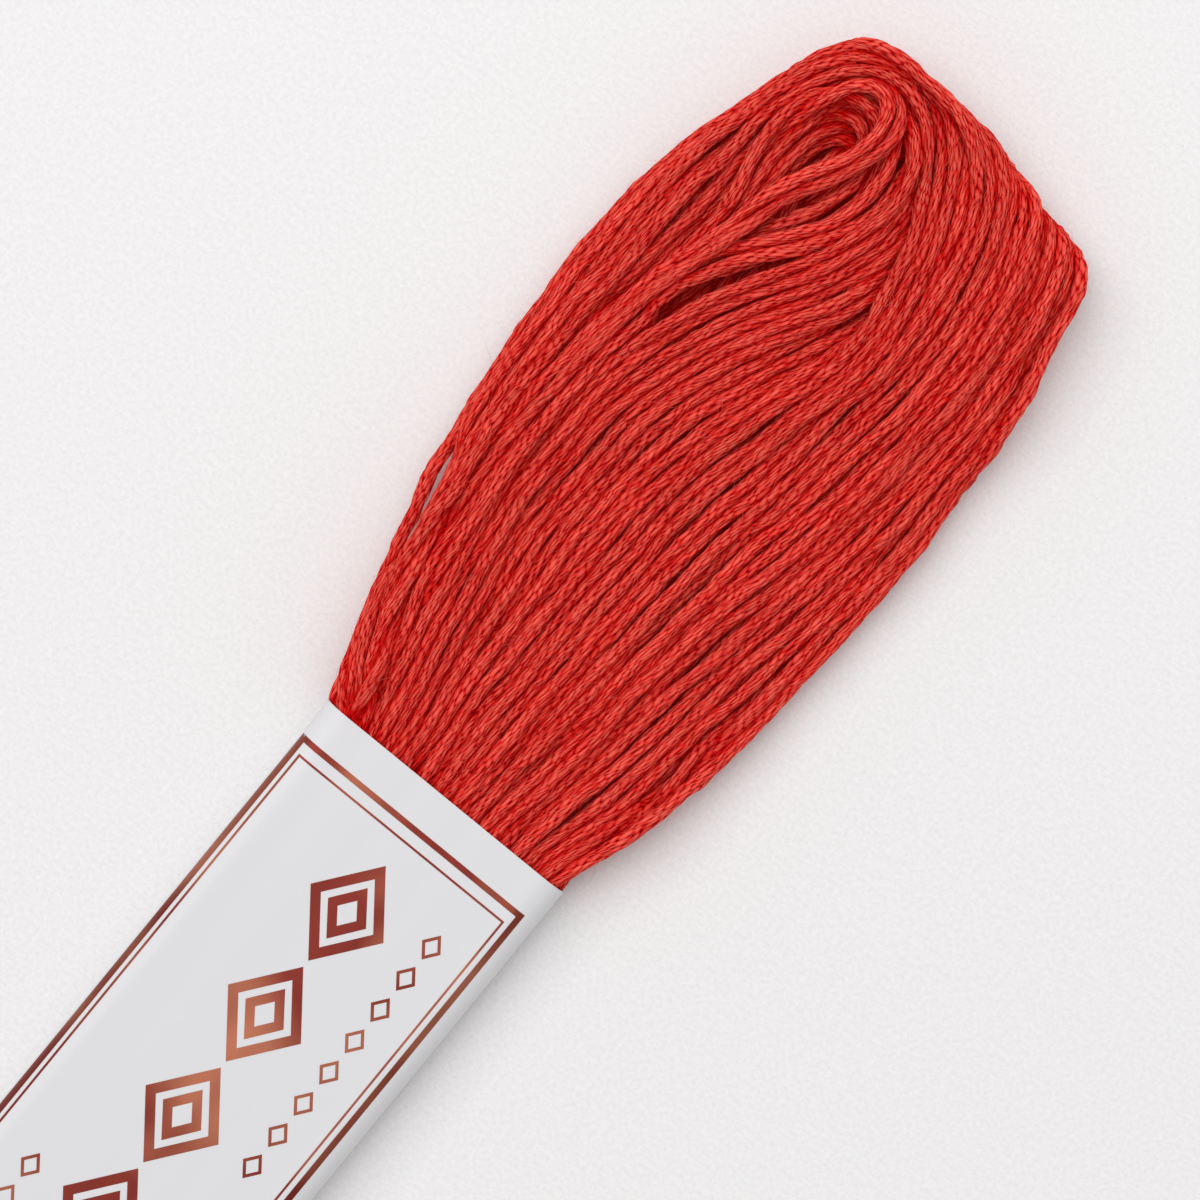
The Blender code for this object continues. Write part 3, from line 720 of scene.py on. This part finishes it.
def short_turn(share, inner):
    """A short loop. share: -1 at the left to 1 at the right. inner: 0 for the outside layer, 1 inside."""
    end = SHORT_REACH - 3.2 * abs(share) ** 3 - 1.9 * inner
    high, low = 0.98 - 0.3 * inner, 0.02 + 0.3 * inner
    top = [(share * w - 0.2, y, high) for y, w in SHORT_WIDTHS]
    turn = [(share * 12.0, end - 1.4, high), (share * 11.9 + 0.3, end - 0.2, (high + low) / 2 + 0.2),
            (share * 11.9 + 0.6, end - 0.2, (high + low) / 2 - 0.2), (share * 12.0 + 0.9, end - 1.4, low)]
    back = [(share * w + 0.9, y, low) for y, w in reversed(SHORT_WIDTHS)]
    return at_height(top + turn + back)


short_lines = []
for k in range(LOOPS_ACROSS):
    for inner in (0, 1):
        share = -1 + 2 * k / (LOOPS_ACROSS - 1)
        line = soft_curve(short_turn(share, inner), STEP)
        short_lines.append(wander(line, np.random.default_rng(2000 + len(short_lines)), WANDER))
SHORT_ROUNDS, SHORT_CLEARANCE, SHORT_HOLD = 200, 1.02, 0.05
short_relaxed = relax(short_lines, [SHORT_HOLD] * len(short_lines), inside_sleeve,
                      SHORT_ROUNDS, SHORT_CLEARANCE)
floss.append(thread_object("short_loops", short_relaxed, range(len(short_lines)), 2, 0.6, 900,
                           LOWER_EDGE, -1))

# %% [markdown]
# ## Loose fibres
#
# Cotton is spun from short fibres, and some stand off the thread as a soft down that one sees
# against the light and along the outline. A hair system could grow it, but hair is not a mesh that
# can be kept, so each fibre is a fine closed tube that leaves the thread and bends back to it.

# %% Loose fibres
FIBRE = 0.013
LONG_FIBRES, SHORT_FIBRES = 3000, 800
LEAST_HEIGHT = 0.05
FIBRE_SHARES = np.linspace(0, 1, 5)


def fibre_roots(lines, count, own):
    """Where fibres start on the open side of the threads, the way out and the thread's heading."""
    tree, owner = tree_of(lines)
    roots = []
    while len(roots) < count:
        thread = own.integers(len(lines))
        line = lines[thread]
        k = own.integers(2, len(line) - 2)
        heading = line[k + 1] - line[k - 1]
        heading /= np.linalg.norm(heading)
        outward = own.normal(0, 1, 3) + (0, 0, 0.5)
        outward -= heading * np.dot(outward, heading)
        outward /= np.linalg.norm(outward)
        root = line[k] + own.uniform(-0.5, 0.5) * heading + 0.95 * RADIUS * outward
        around = tree.find_range(root + 0.4 * outward, 0.72)
        if root[1] > 1.2 and outward[2] > -0.3 and all(owner[other] == thread for _, other, _ in around):
            roots.append((root, outward, heading * own.choice([-1, 1])))
    return [np.array(column) for column in zip(*roots)]


def fibre_tubes(roots, own):
    """Points and faces of thin three-sided tubes from the roots."""
    root, outward, heading = roots
    count, rings = len(root), len(FIBRE_SHARES)
    sideways = np.cross(outward, heading)
    rise, length = own.uniform(0.25, 0.75, (count, 1)), own.uniform(0.5, 1.5, (count, 1))
    course = heading + sideways * own.normal(0, 0.5, (count, 1)) + outward * rise
    share = FIBRE_SHARES[None, :, None]
    middle = root[:, None] + length[:, None] * (
        share * course[:, None] - share ** 2 * (outward * rise * own.uniform(0.6, 1.1, (count, 1))
                                                + sideways * own.normal(0, 0.3, (count, 1)))[:, None])
    middle[:, :, 2] = np.maximum(middle[:, :, 2], LEAST_HEIGHT)
    angle = np.arange(3) * 2 * math.pi / 3
    across = np.cross(outward, course)
    across /= np.linalg.norm(across, axis=1)[:, None]
    section = (across[:, None] * np.cos(angle)[:, None] + outward[:, None] * np.sin(angle)[:, None]) * FIBRE
    points = middle[:, :, None] + section[:, None] * (1 - 0.5 * share)[..., None]
    corner = np.arange(count * rings * 3).reshape(count, rings, 3)
    after = np.roll(corner, -1, axis=2)
    quads = np.stack([corner[:, :-1], after[:, :-1], after[:, 1:], corner[:, 1:]], axis=3).reshape(-1, 4)
    return points.reshape(-1, 3), quads, corner[:, 0, ::-1], corner[:, -1]


down, down_quads, down_caps = [], [], []
for lines, count, edge, direction in ((relaxed, LONG_FIBRES, UPPER_EDGE, 1),
                                      (short_relaxed, SHORT_FIBRES, LOWER_EDGE, -1)):
    own = np.random.default_rng(count)
    points, quads, *caps = fibre_tubes(fibre_roots(lines, count, own), own)
    points[:, 1] = edge + direction * points[:, 1]
    base = sum(len(part) for part in down)
    down.append(points)
    down_quads.append(quads[:, ::direction] + base)
    down_caps += [cap[:, ::direction] + base for cap in caps]
down_quads, down_caps = np.concatenate(down_quads), np.concatenate(down_caps)
fibres = add_mesh("loose_fibres", np.concatenate(down),
                  np.concatenate([down_quads.ravel(), down_caps.ravel()]),
                  np.concatenate([np.full(len(down_quads), 4), np.full(len(down_caps), 3)]))
down_cotton = bpy.data.materials.new("red_cotton_down")
down_cotton.use_nodes = True
shader = down_cotton.node_tree.nodes["Principled BSDF"]
shader.inputs["Base Color"].default_value = (0.84, 0.15, 0.11, 1)
shader.inputs["Roughness"].default_value = 1.0
shader.inputs["Specular IOR Level"].default_value = 0.0
fibres.data.materials.append(down_cotton)
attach(fibres, "root")
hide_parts("skein")
print("loose fibres", 2 * len(down_quads) + len(down_caps), "triangles")

# %% [markdown]
# ## Red cotton
#
# Dyed cotton is matt. Each strand is twisted from thin plies, and the hollows between them are what
# one sees first: short slanting dashes in rows along the thread. A picture could carry them, but it
# would blur close up, so they are worked out from the strand's own coordinate: rows run round the
# thread, each has its own start, and a valley is bent like the edge of a twisted ply.
#
# Light wanders from fibre to fibre and turns redder at each one, so hollows are a deep, pure red
# and not grey. Three things carry this: the colour falls with the depth of the valley and rises on
# the strand crests, which is painted shade in the hollows; it is multiplied by a deep red where
# another thread presses close, which is painted shade between threads; and a little subsurface and
# a trace of red emission, a painted glow, stand for light that has passed through more fibres than
# a ray can follow.

# %% Cotton material
cotton = bpy.data.materials.new("red_stranded_cotton")
cotton.use_nodes = True
nodes, links = cotton.node_tree.nodes, cotton.node_tree.links
shader = nodes["Principled BSDF"]
shader.inputs["Roughness"].default_value = 1.0
shader.inputs["Specular IOR Level"].default_value = 0.0
# A faint red emission is a painted glow: it lifts the darkest hollows towards a deep red.
shader.inputs["Emission Color"].default_value = (1, 0, 0.005, 1)
shader.inputs["Emission Strength"].default_value = 0.022
shader.inputs["Subsurface Weight"].default_value = 0.25
shader.inputs["Subsurface Radius"].default_value = (1.0, 0.16, 0.10)
shader.inputs["Subsurface Scale"].default_value = 0.5 * MM


def node(kind, place, **settings):
    made = nodes.new(kind)
    made.location = place
    for key, value in settings.items():
        setattr(made, key, value)
    return made


def attribute(name, place):
    return node("ShaderNodeAttribute", place, attribute_name=name).outputs["Fac"]


def math_node(operation, place, *values):
    made = node("ShaderNodeMath", place, operation=operation)
    for socket, value in zip(made.inputs, values):
        if isinstance(value, (int, float)):
            socket.default_value = value
        else:
            links.new(value, socket)
    return made.outputs[0]


def noise(vector, place, scale, detail, seed=None):
    made = node("ShaderNodeTexNoise", place, noise_dimensions="4D")
    made.inputs["Scale"].default_value = scale
    made.inputs["Detail"].default_value = detail
    made.inputs["Roughness"].default_value = 0.6
    links.new(vector, made.inputs["Vector"])
    if seed is not None:
        links.new(seed, made.inputs["W"])
    return made.outputs[0]


def stretched(vector, place, scale):
    made = node("ShaderNodeMapping", place)
    made.inputs["Scale"].default_value = scale
    links.new(vector, made.inputs["Vector"])
    return made.outputs["Vector"]


def between_values(value, place, low, high):
    """0 below `low`, 1 above `high`, a soft step between."""
    made = node("ShaderNodeMapRange", place, interpolation_type="SMOOTHSTEP")
    links.new(value, made.inputs["Value"])
    made.inputs["From Min"].default_value = low
    made.inputs["From Max"].default_value = high
    return made.outputs[0]


crest = attribute("crest", (-1700, 400))
crowd = attribute("crowd", (-1700, 500))
tone = attribute("tone", (-1700, -500))
own_seed = math_node("MULTIPLY", (-1500, -500), tone, 90.0)
uv = node("ShaderNodeUVMap", (-1900, 0), uv_map="strand_run").outputs["UV"]
split = node("ShaderNodeSeparateXYZ", (-1700, 150))
links.new(uv, split.inputs[0])
strand_place, run_place = split.outputs[0], split.outputs[1]

fluff = noise(stretched(uv, (-1700, -100), (6.0, 2.4, 1)), (-1500, -100), 1.0, 4.0, own_seed)
patch = noise(stretched(uv, (-1700, -700), (0.9, 0.7, 1)), (-1500, -700), 1.0, 1.0, own_seed)
cloud = noise(stretched(uv, (-1700, -900), (0.8, 0.35, 1)), (-1500, -900), 1.0, 2.0, own_seed)

# The hollow between two plies is a short curved line, deepest where it meets the next row.
column = math_node("MULTIPLY", (-1500, 600), strand_place, COLUMNS / STRANDS)
row_floor = math_node("FLOOR", (-1350, 600), column)
row_number = math_node("FLOORED_MODULO", (-1350, 500), row_floor, COLUMNS)
row_name = math_node("ADD", (-1200, 700), row_number, own_seed)
row_start = node("ShaderNodeTexWhiteNoise", (-1050, 700), noise_dimensions="1D")
links.new(row_name, row_start.inputs["W"])
row_line = node("ShaderNodeCombineXYZ", (-1200, 400))
links.new(math_node("MULTIPLY", (-1350, 400), run_place, 0.45), row_line.inputs[0])
uneven = noise(row_line.outputs[0], (-1050, 400), 1.0, 1.0, row_name)
shared = noise(row_line.outputs[0], (-1050, 200), 1.0, 1.0, own_seed)
march = math_node("DIVIDE", (-1050, 250), run_place, PLY_STEP)
march = math_node("ADD", (-800, 600), march, row_start.outputs["Value"])
march = math_node("ADD", (-750, 600), march, math_node("MULTIPLY", (-900, 400), uneven, 1.0))
march = math_node("ADD", (-700, 600), march, math_node("MULTIPLY", (-900, 200), shared, 1.5))
across = math_node("SUBTRACT", (-900, 900), math_node("SUBTRACT", (-1050, 900), column, row_floor), 0.5)
bent = math_node("DIVIDE", (-600, 900), math_node("ARCSINE", (-750, 900), math_node(
    "MULTIPLY", (-750, 1000), across, 1.96)), math.pi)
turn = math_node("ADD", (-450, 900), march, bent)
turn = math_node("ADD", (-450, 1000), turn, math_node("MULTIPLY", (-450, 1100), math_node(
    "SUBTRACT", (-600, 1100), fluff, 0.5), 0.25))
swing = math_node("ABSOLUTE", (-150, 900), math_node(
    "SUBTRACT", (-300, 900), turn, math_node("ROUND", (-300, 1000), turn)))
gap = math_node("SUBTRACT", (150, 900), 1.0, math_node("MULTIPLY", (0, 900), swing, 2.0))
edge = math_node("POWER", (150, 700), math_node("MULTIPLY", (0, 700), math_node(
    "ABSOLUTE", (-150, 700), across), 2.0), 2.0)
slant = math_node("MULTIPLY", (450, 900), math_node("POWER", (300, 900), gap, 1.9),
                  math_node("MULTIPLY_ADD", (300, 700), edge, 0.6, 0.4))
ditch = math_node("MULTIPLY", (450, 700), math_node("POWER", (300, 600), edge, 3.0),
                  math_node("MULTIPLY_ADD", (300, 500), gap, 0.8, 0.2))
valley = math_node("MAXIMUM", (600, 800), slant, ditch)
valley = math_node("MULTIPLY", (700, 800), valley, math_node(
    "MULTIPLY_ADD", (-150, 300), between_values(patch, (-300, 250), 0.30, 0.65), 0.25, 0.75))
painted_crevice_shade = between_values(valley, (850, 600), 0.35, 0.85)

height = math_node("MULTIPLY", (-900, 20), crest, 0.08)
height = math_node("ADD", (-750, 20), height, math_node("MULTIPLY", (-900, -100), fluff, 0.32))
height = math_node("ADD", (-600, 20), height, math_node("MULTIPLY", (-750, -900), cloud, 0.45))
height = math_node("SUBTRACT", (-450, 20), height, math_node("MULTIPLY", (-450, 200), valley, 0.66))
# The colour ramp runs from a deep red in the valleys and crevices to a light red on the strand crests:
# painted shade in the hollows between plies, on top of the fibres' random tone.
fibre_tone_and_painted_shade = math_node("SUBTRACT", (-300, 20), height, math_node("MULTIPLY", (-300, 200), painted_crevice_shade, 0.26))
ramp = node("ShaderNodeValToRGB", (-350, 420))
ramp.color_ramp.elements[0].position = 0.0
ramp.color_ramp.elements[0].color = (0.22, 0.001, 0.003, 1)
ramp.color_ramp.elements[1].position = 0.50
ramp.color_ramp.elements[1].color = (0.89, 0.130, 0.092, 1)
for position, color in ((0.12, (0.45, 0.004, 0.006, 1)), (0.25, (0.66, 0.024, 0.020, 1)),
                        (0.38, (0.78, 0.078, 0.055, 1))):
    ramp.color_ramp.elements.new(position).color = color
links.new(fibre_tone_and_painted_shade, ramp.inputs["Fac"])
shade = node("ShaderNodeHueSaturation", (-50, 420))
links.new(ramp.outputs["Color"], shade.inputs["Color"])
links.new(math_node("ADD", (-200, 150), math_node("MULTIPLY", (-350, 150), tone, 0.14), 0.88),
          shade.inputs["Value"])
# Where another thread presses close, the colour is multiplied by a deep red: painted shade between threads.
painted_contact_shade = node("ShaderNodeMix", (150, 420), data_type="RGBA", blend_type="MULTIPLY")
links.new(math_node("POWER", (0, 250), crowd, 1.3), painted_contact_shade.inputs[0])
links.new(shade.outputs["Color"], painted_contact_shade.inputs[6])
painted_contact_shade.inputs[7].default_value = (0.80, 0.10, 0.12, 1)
links.new(painted_contact_shade.outputs[2], shader.inputs["Base Color"])
relief = node("ShaderNodeBump", (-50, -100))
relief.inputs["Strength"].default_value = 0.9
relief.inputs["Distance"].default_value = 0.00016
links.new(height, relief.inputs["Height"])
links.new(relief.outputs["Normal"], shader.inputs["Normal"])
for piece in floss:
    piece.data.materials.append(cotton)
    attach(piece, "root")
    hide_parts("skein")
print("cotton on", len(floss), "pieces")

# %% [markdown]
# ## The paper band
#
# The band is one strip of coated paper, wrapped round the middle and glued where it overlaps
# underneath. It is modelled as the real strip: the line of its section runs from the tucked end
# round the right side, over the top and back to the outer end, and is thickened to the paper's
# thickness. Bundles of thread press a real band into faint lengthwise waves, and a few slow sines
# stand for them here.

# %% Section of the wrapped strip
OVERLAP = 6.0
CORNER = 2.3
ROWS = 60


def wrap_line(count):
    """Points of the strip's middle line (across, up), from the tucked end to the outer end."""
    half, top = BAND_HALF - PAPER / 2, BAND_TOP - PAPER / 2
    low = PAPER / 2
    r = CORNER
    key = [(-OVERLAP / 2, low + PAPER * 1.15), (OVERLAP / 2 - 0.5, low + PAPER * 1.15),
           (OVERLAP / 2 + 1.5, low)]
    key += [(half - r, low)]
    for centre, start in (((half - r, low + r), -90), ((half - r, top - r), 0), ((-half + r, top - r), 90),
                          ((-half + r, low + r), 180)):
        for angle in np.radians(start + np.linspace(0, 90, 17)):
            key.append((centre[0] + r * math.cos(angle), centre[1] + r * math.sin(angle)))
    key += [(OVERLAP / 2, low)]
    key = np.array(key)
    run = np.concatenate([[0], np.cumsum(np.linalg.norm(np.diff(key, axis=0), axis=1))])
    at = np.unique(np.concatenate([run, np.linspace(0, run[-1], count)]))
    at = at[np.concatenate([[True], np.diff(at) > 0.02])]
    return np.stack([np.interp(at, run, key[:, c]) for c in range(2)], axis=1), run[-1]


section, wrap_length = wrap_line(150)
direction = np.gradient(section, axis=0)
direction /= np.linalg.norm(direction, axis=1)[:, None]
outward = np.stack([direction[:, 1], -direction[:, 0]], axis=1)
print("paper strip", round(wrap_length, 1), "mm round, with an overlap of", OVERLAP, "mm")


def paper_wave(across, along):
    """How far a faint wave lifts or drops the paper's top."""
    wave = 0.016 * np.sin(across * 1.15 + 0.5 + 0.02 * along) * np.sin(along * 0.05 + 0.4)
    wave += 0.007 * np.sin(across * 2.3 + 1.9 - 0.03 * along) * np.sin(along * 0.085 + 1.4)
    return wave - 0.10


def paper_point(across, up, normal, along, lift):
    """A point on the band, waved where it lies on top, moved off the paper by `lift`."""
    on_top = np.clip((up - BAND_TOP + 1.2) / 1.0, 0, 1) * np.clip((BAND_HALF - np.abs(across)) / 1.5, 0, 1)
    up = up + on_top * paper_wave(across, along)
    return np.stack([across + normal[0] * lift, along + 0 * across, up + normal[1] * lift], axis=-1)


# %% The strip as a mesh
alongs = np.linspace(LOWER_EDGE, UPPER_EDGE, ROWS)
skins = []
for lift in (PAPER / 2, -PAPER / 2):
    skins.append(np.array([paper_point(section[:, 0], section[:, 1], outward.T, y, lift) for y in alongs]))
points = np.concatenate([skin.reshape(-1, 3) for skin in skins])
across_count = len(section)
number = np.arange(2 * ROWS * across_count).reshape(2, ROWS, across_count)
faces = []
for side, grid in enumerate(number):
    quad = np.stack([grid[:-1, :-1], grid[:-1, 1:], grid[1:, 1:], grid[1:, :-1]], axis=2).reshape(-1, 4)
    faces.append(quad[:, ::-1] if side == 0 else quad)
outer, inner = number
rim = [(outer[0], inner[0], 1), (outer[-1], inner[-1], 0), (outer[:, 0], inner[:, 0], 0),
       (outer[:, -1], inner[:, -1], 1)]
for a, b, flip in rim:
    quad = np.stack([a[:-1], a[1:], b[1:], b[:-1]], axis=1)
    faces.append(quad if flip else quad[:, ::-1])
faces = np.concatenate(faces)
band = add_mesh("paper_band", points, faces.ravel(), np.full(len(faces), 4))
band.data.set_sharp_from_angle(angle=math.radians(50))
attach(band, "root")
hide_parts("band")
print("paper band", len(faces) * 2, "triangles")

# %% [markdown]
# ## Coated paper
#
# The label paper is white with a slight blue cast and a soft gloss. Its grain is far finer than a
# millimetre, so a faint bump is enough and the colour stays even.

# %% Paper material
paper = bpy.data.materials.new("coated_white_paper")
paper.use_nodes = True
nodes, links = paper.node_tree.nodes, paper.node_tree.links
shader = nodes["Principled BSDF"]
shader.inputs["Base Color"].default_value = (0.69, 0.68, 0.695, 1)
shader.inputs["Roughness"].default_value = 0.42
shader.inputs["Specular IOR Level"].default_value = 0.4
grain = node("ShaderNodeTexNoise", (-700, -200))
grain.inputs["Scale"].default_value = 2600.0
grain.inputs["Detail"].default_value = 4.0
place = node("ShaderNodeTexCoord", (-900, -200))
links.new(place.outputs["Object"], grain.inputs["Vector"])
relief = node("ShaderNodeBump", (-300, -200))
relief.inputs["Strength"].default_value = 0.25
relief.inputs["Distance"].default_value = 0.00003
links.new(grain.outputs[0], relief.inputs["Height"])
links.new(relief.outputs["Normal"], shader.inputs["Normal"])
band.data.materials.append(paper)

# %% [markdown]
# ## The foil print
#
# A thin metal foil is pressed on the paper: a broad frame, a hairline inside it, a column of nested
# lozenges down the middle and two columns of small ones. The print has no height worth speaking of,
# yet it is modelled as a thin layer that follows the paper round its corner, so its edges stay sharp
# at any distance and it needs no picture.

# %% Ribbons of foil on the paper
FOIL = 0.02
CUT = 0.2
TRACK = 0.25


def on_paper(across, along, lift):
    """Points on the band's upper side, over its corners too, at a distance from the paper's face."""
    r, half, top = CORNER, BAND_HALF - PAPER / 2, BAND_TOP - PAPER / 2
    sine = np.clip((np.abs(across) - half + r) / (r + PAPER / 2), 0, 1)
    cosine = np.sqrt(1 - sine ** 2)
    flat = np.minimum(np.abs(across), half - r)
    middle = np.sign(across) * (flat + r * sine)
    normal = (np.sign(across) * sine, cosine)
    return paper_point(middle, top - r + r * cosine, normal, along, PAPER / 2 + lift)


def ribbon(corners, width):
    """A closed ribbon of foil along a loop of corners (across, below the edge)."""
    corners = np.array(corners, float)
    heading = np.roll(corners, -1, axis=0) - corners
    length = np.linalg.norm(heading, axis=1)
    heading /= length[:, None]
    left = np.stack([-heading[:, 1], heading[:, 0]], axis=1)
    before = np.roll(left, 1, axis=0)
    miter = (left + before) / (1 + (left * before).sum(axis=1))[:, None]
    cuts = np.maximum(1, np.round(length / CUT)).astype(int)
    tracks = 2 + int(width / TRACK)
    loops = []
    for reach in np.linspace(-width / 2, width / 2, tracks):
        ends = corners + reach * miter
        parts = []
        for k, end in enumerate(np.roll(ends, -1, axis=0)):
            share = np.arange(cuts[k]) / cuts[k]
            parts.append(ends[k] * (1 - share[:, None]) + end * share[:, None])
        loops.append(np.concatenate(parts))
    layers = [on_paper(loop[:, 0], UPPER_EDGE - loop[:, 1], lift)
              for lift in (-FOIL, FOIL) for loop in loops]
    count = len(loops[0])
    ring = np.arange(count)
    after = (ring + 1) % count
    across_top = [(tracks + k, tracks + k + 1) for k in range(tracks - 1)]
    across_bottom = [(k + 1, k) for k in range(tracks - 1)]
    edges = [(tracks - 1, 2 * tracks - 1), (tracks, 0)]
    faces = [np.stack([a * count + ring, a * count + after, b * count + after, b * count + ring], axis=1)
             for a, b in across_bottom + across_top + edges]
    return np.concatenate(layers), np.concatenate(faces)


def lozenge(across, below, half_width, half_height):
    """The four corners of a lozenge."""
    return [(across, below - half_height), (across + half_width, below), (across, below + half_height),
            (across - half_width, below)]


# %% The printed motif
band_length = UPPER_EDGE - LOWER_EDGE
BAR_INSET, HAIRLINE_INSET = 3.62, 4.9
prints = [
    # corners of the loop, width of the ribbon
    ([(-12.07, BAR_INSET), (10.9, BAR_INSET), (10.9, band_length - BAR_INSET),
      (-12.07, band_length - BAR_INSET)], 0.52),
    ([(-11.4, HAIRLINE_INSET), (10.1, HAIRLINE_INSET), (10.1, band_length - HAIRLINE_INSET),
      (-11.4, band_length - HAIRLINE_INSET)], 0.19),
]
for k in range(6):
    below = 12.4 + k * (band_length - 24.8) / 5
    prints.append((lozenge(-0.2, below, 3.3, 4.3), 0.85))
    prints.append((lozenge(-0.2, below, 1.5, 2.0), 0.80))
for k in range(8):
    prints.append((lozenge(6.9, 10.2 + 3.3 * k, 0.80, 1.05), 0.26))
    prints.append((lozenge(-7.2, band_length - 10.2 - 3.3 * k, 0.80, 1.05), 0.26))
layers, corners, base = [], [], 0
for loop, width in prints:
    points, faces = ribbon(loop, width)
    layers.append(points)
    corners.append(faces + base)
    base += len(points)
corners = np.concatenate(corners)
foil = add_mesh("foil_print", np.concatenate(layers), corners.ravel(), np.full(len(corners), 4), False)
rows = bmesh.new()
rows.from_mesh(foil.data)
bmesh.ops.recalc_face_normals(rows, faces=rows.faces)
rows.to_mesh(foil.data)
rows.free()
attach(foil, "root")
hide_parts("band")
print("foil print", len(prints), "ribbons,", 2 * len(corners), "triangles")

# %% [markdown]
# ## Copper foil
#
# Foil is pure metal, so its colour is all in the reflection. It lies a little unevenly on the paper
# and glints here and there. A soft noise between a dark and a light copper paints these glints into
# its colour, as painted reflection.

# %% Foil material
copper = bpy.data.materials.new("copper_foil")
copper.use_nodes = True
nodes, links = copper.node_tree.nodes, copper.node_tree.links
shader = nodes["Principled BSDF"]
shader.inputs["Metallic"].default_value = 1.0
place = node("ShaderNodeTexCoord", (-1100, 0))
glint = node("ShaderNodeTexNoise", (-700, 200))
glint.inputs["Scale"].default_value = 110.0
glint.inputs["Detail"].default_value = 1.0
links.new(place.outputs["Object"], glint.inputs["Vector"])
# The ramp between a dark and a light copper gives painted glints, a painted reflection in the foil's
# colour.
painted_glint_ramp = node("ShaderNodeValToRGB", (-450, 200))
painted_glint_ramp.color_ramp.elements[0].position = 0.42
painted_glint_ramp.color_ramp.elements[0].color = (0.225, 0.038, 0.028, 1)
painted_glint_ramp.color_ramp.elements[1].position = 0.70
painted_glint_ramp.color_ramp.elements[1].color = (0.44, 0.155, 0.092, 1)
links.new(glint.outputs[0], painted_glint_ramp.inputs["Fac"])
links.new(painted_glint_ramp.outputs["Color"], shader.inputs["Base Color"])
shader.inputs["Roughness"].default_value = 0.45
foil.data.materials.append(copper)

# %% [markdown]
# ## The board, the camera and the light
#
# The skein lies on a white board, seen from straight above with the skein running up to the right.
# The board is almost even, with the fine pulp of card. A broad soft light stands at the upper left,
# a weaker and lower one past the looped end, and a bright room fills the rest, so shadows are short
# and pale. The view transform is Standard, because it shows the strong red as it is, where a
# film-like one would dull it.

# %% White board
bpy.context.scene.view_settings.view_transform = "Standard"
bpy.ops.mesh.primitive_plane_add(size=2.0, location=(0, 0, 0))
floor = bpy.context.object
floor.name = "table_top"
table = bpy.data.materials.new("white_board")
table.use_nodes = True
nodes, links = table.node_tree.nodes, table.node_tree.links
shader = nodes["Principled BSDF"]
shader.inputs["Roughness"].default_value = 0.9
place = node("ShaderNodeTexCoord", (-1300, 0))
pulp = node("ShaderNodeTexNoise", (-1000, 0))
pulp.inputs["Scale"].default_value = 2400.0
pulp.inputs["Detail"].default_value = 5.0
pulp.inputs["Roughness"].default_value = 0.7
links.new(place.outputs["Object"], pulp.inputs["Vector"])
bleach = node("ShaderNodeValToRGB", (-600, 100))
bleach.color_ramp.elements[0].position = 0.32
bleach.color_ramp.elements[0].color = (0.785, 0.77, 0.77, 1)
bleach.color_ramp.elements[1].position = 0.66
bleach.color_ramp.elements[1].color = (0.865, 0.855, 0.855, 1)
links.new(pulp.outputs[0], bleach.inputs["Fac"])
links.new(bleach.outputs["Color"], shader.inputs["Base Color"])
relief = node("ShaderNodeBump", (-600, -200))
relief.inputs["Strength"].default_value = 0.5
relief.inputs["Distance"].default_value = 0.0001
links.new(pulp.outputs[0], relief.inputs["Height"])
links.new(relief.outputs["Normal"], shader.inputs["Normal"])
floor.data.materials.append(table)

# %% Camera
TURN = math.radians(39.3)
AIM = Vector((-0.42, UPPER_EDGE + 20.5, 0)) * MM
VIEW_WIDTH = 98.4 * MM
LENS = 100.0
distance = VIEW_WIDTH * LENS / 36.0
camera_data = bpy.data.cameras.new("camera")
camera_data.lens = LENS
camera_data.sensor_width = 36.0
camera_data.clip_start = 0.01
camera = bpy.data.objects.new("camera", camera_data)
camera.location = AIM + Vector((0, 0, distance + 4.5 * MM))
camera.rotation_euler = (0, 0, TURN)
bpy.context.scene.collection.objects.link(camera)
bpy.context.scene.camera = camera
print("camera", round(distance, 3), "m above the board, view", round(VIEW_WIDTH / MM, 1), "mm wide")


# %% Light
def soft_light(name, side, height, size, power):
    """An area light on one side of the picture, aimed at the skein. side: (right, up) in the view."""
    right = Vector((math.cos(TURN), math.sin(TURN), 0))
    up = Vector((-math.sin(TURN), math.cos(TURN), 0))
    data = bpy.data.lights.new(name, "AREA")
    data.size = size
    data.energy = power
    light = bpy.data.objects.new(name, data)
    light.location = AIM + right * side[0] + up * side[1] + Vector((0, 0, height))
    light.rotation_euler = (AIM - light.location).to_track_quat("-Z", "Y").to_euler()
    bpy.context.scene.collection.objects.link(light)


soft_light("window_light", (-0.30, 0.36), 0.90, 1.00, 6.1)
soft_light("far_window", (0.38, 0.48), 0.42, 0.60, 1.25)
world = bpy.data.worlds.new("soft_room")
world.use_nodes = True
world.node_tree.nodes["Background"].inputs["Color"].default_value = (1, 1, 1, 1)
world.node_tree.nodes["Background"].inputs["Strength"].default_value = 0.56
bpy.context.scene.world = world
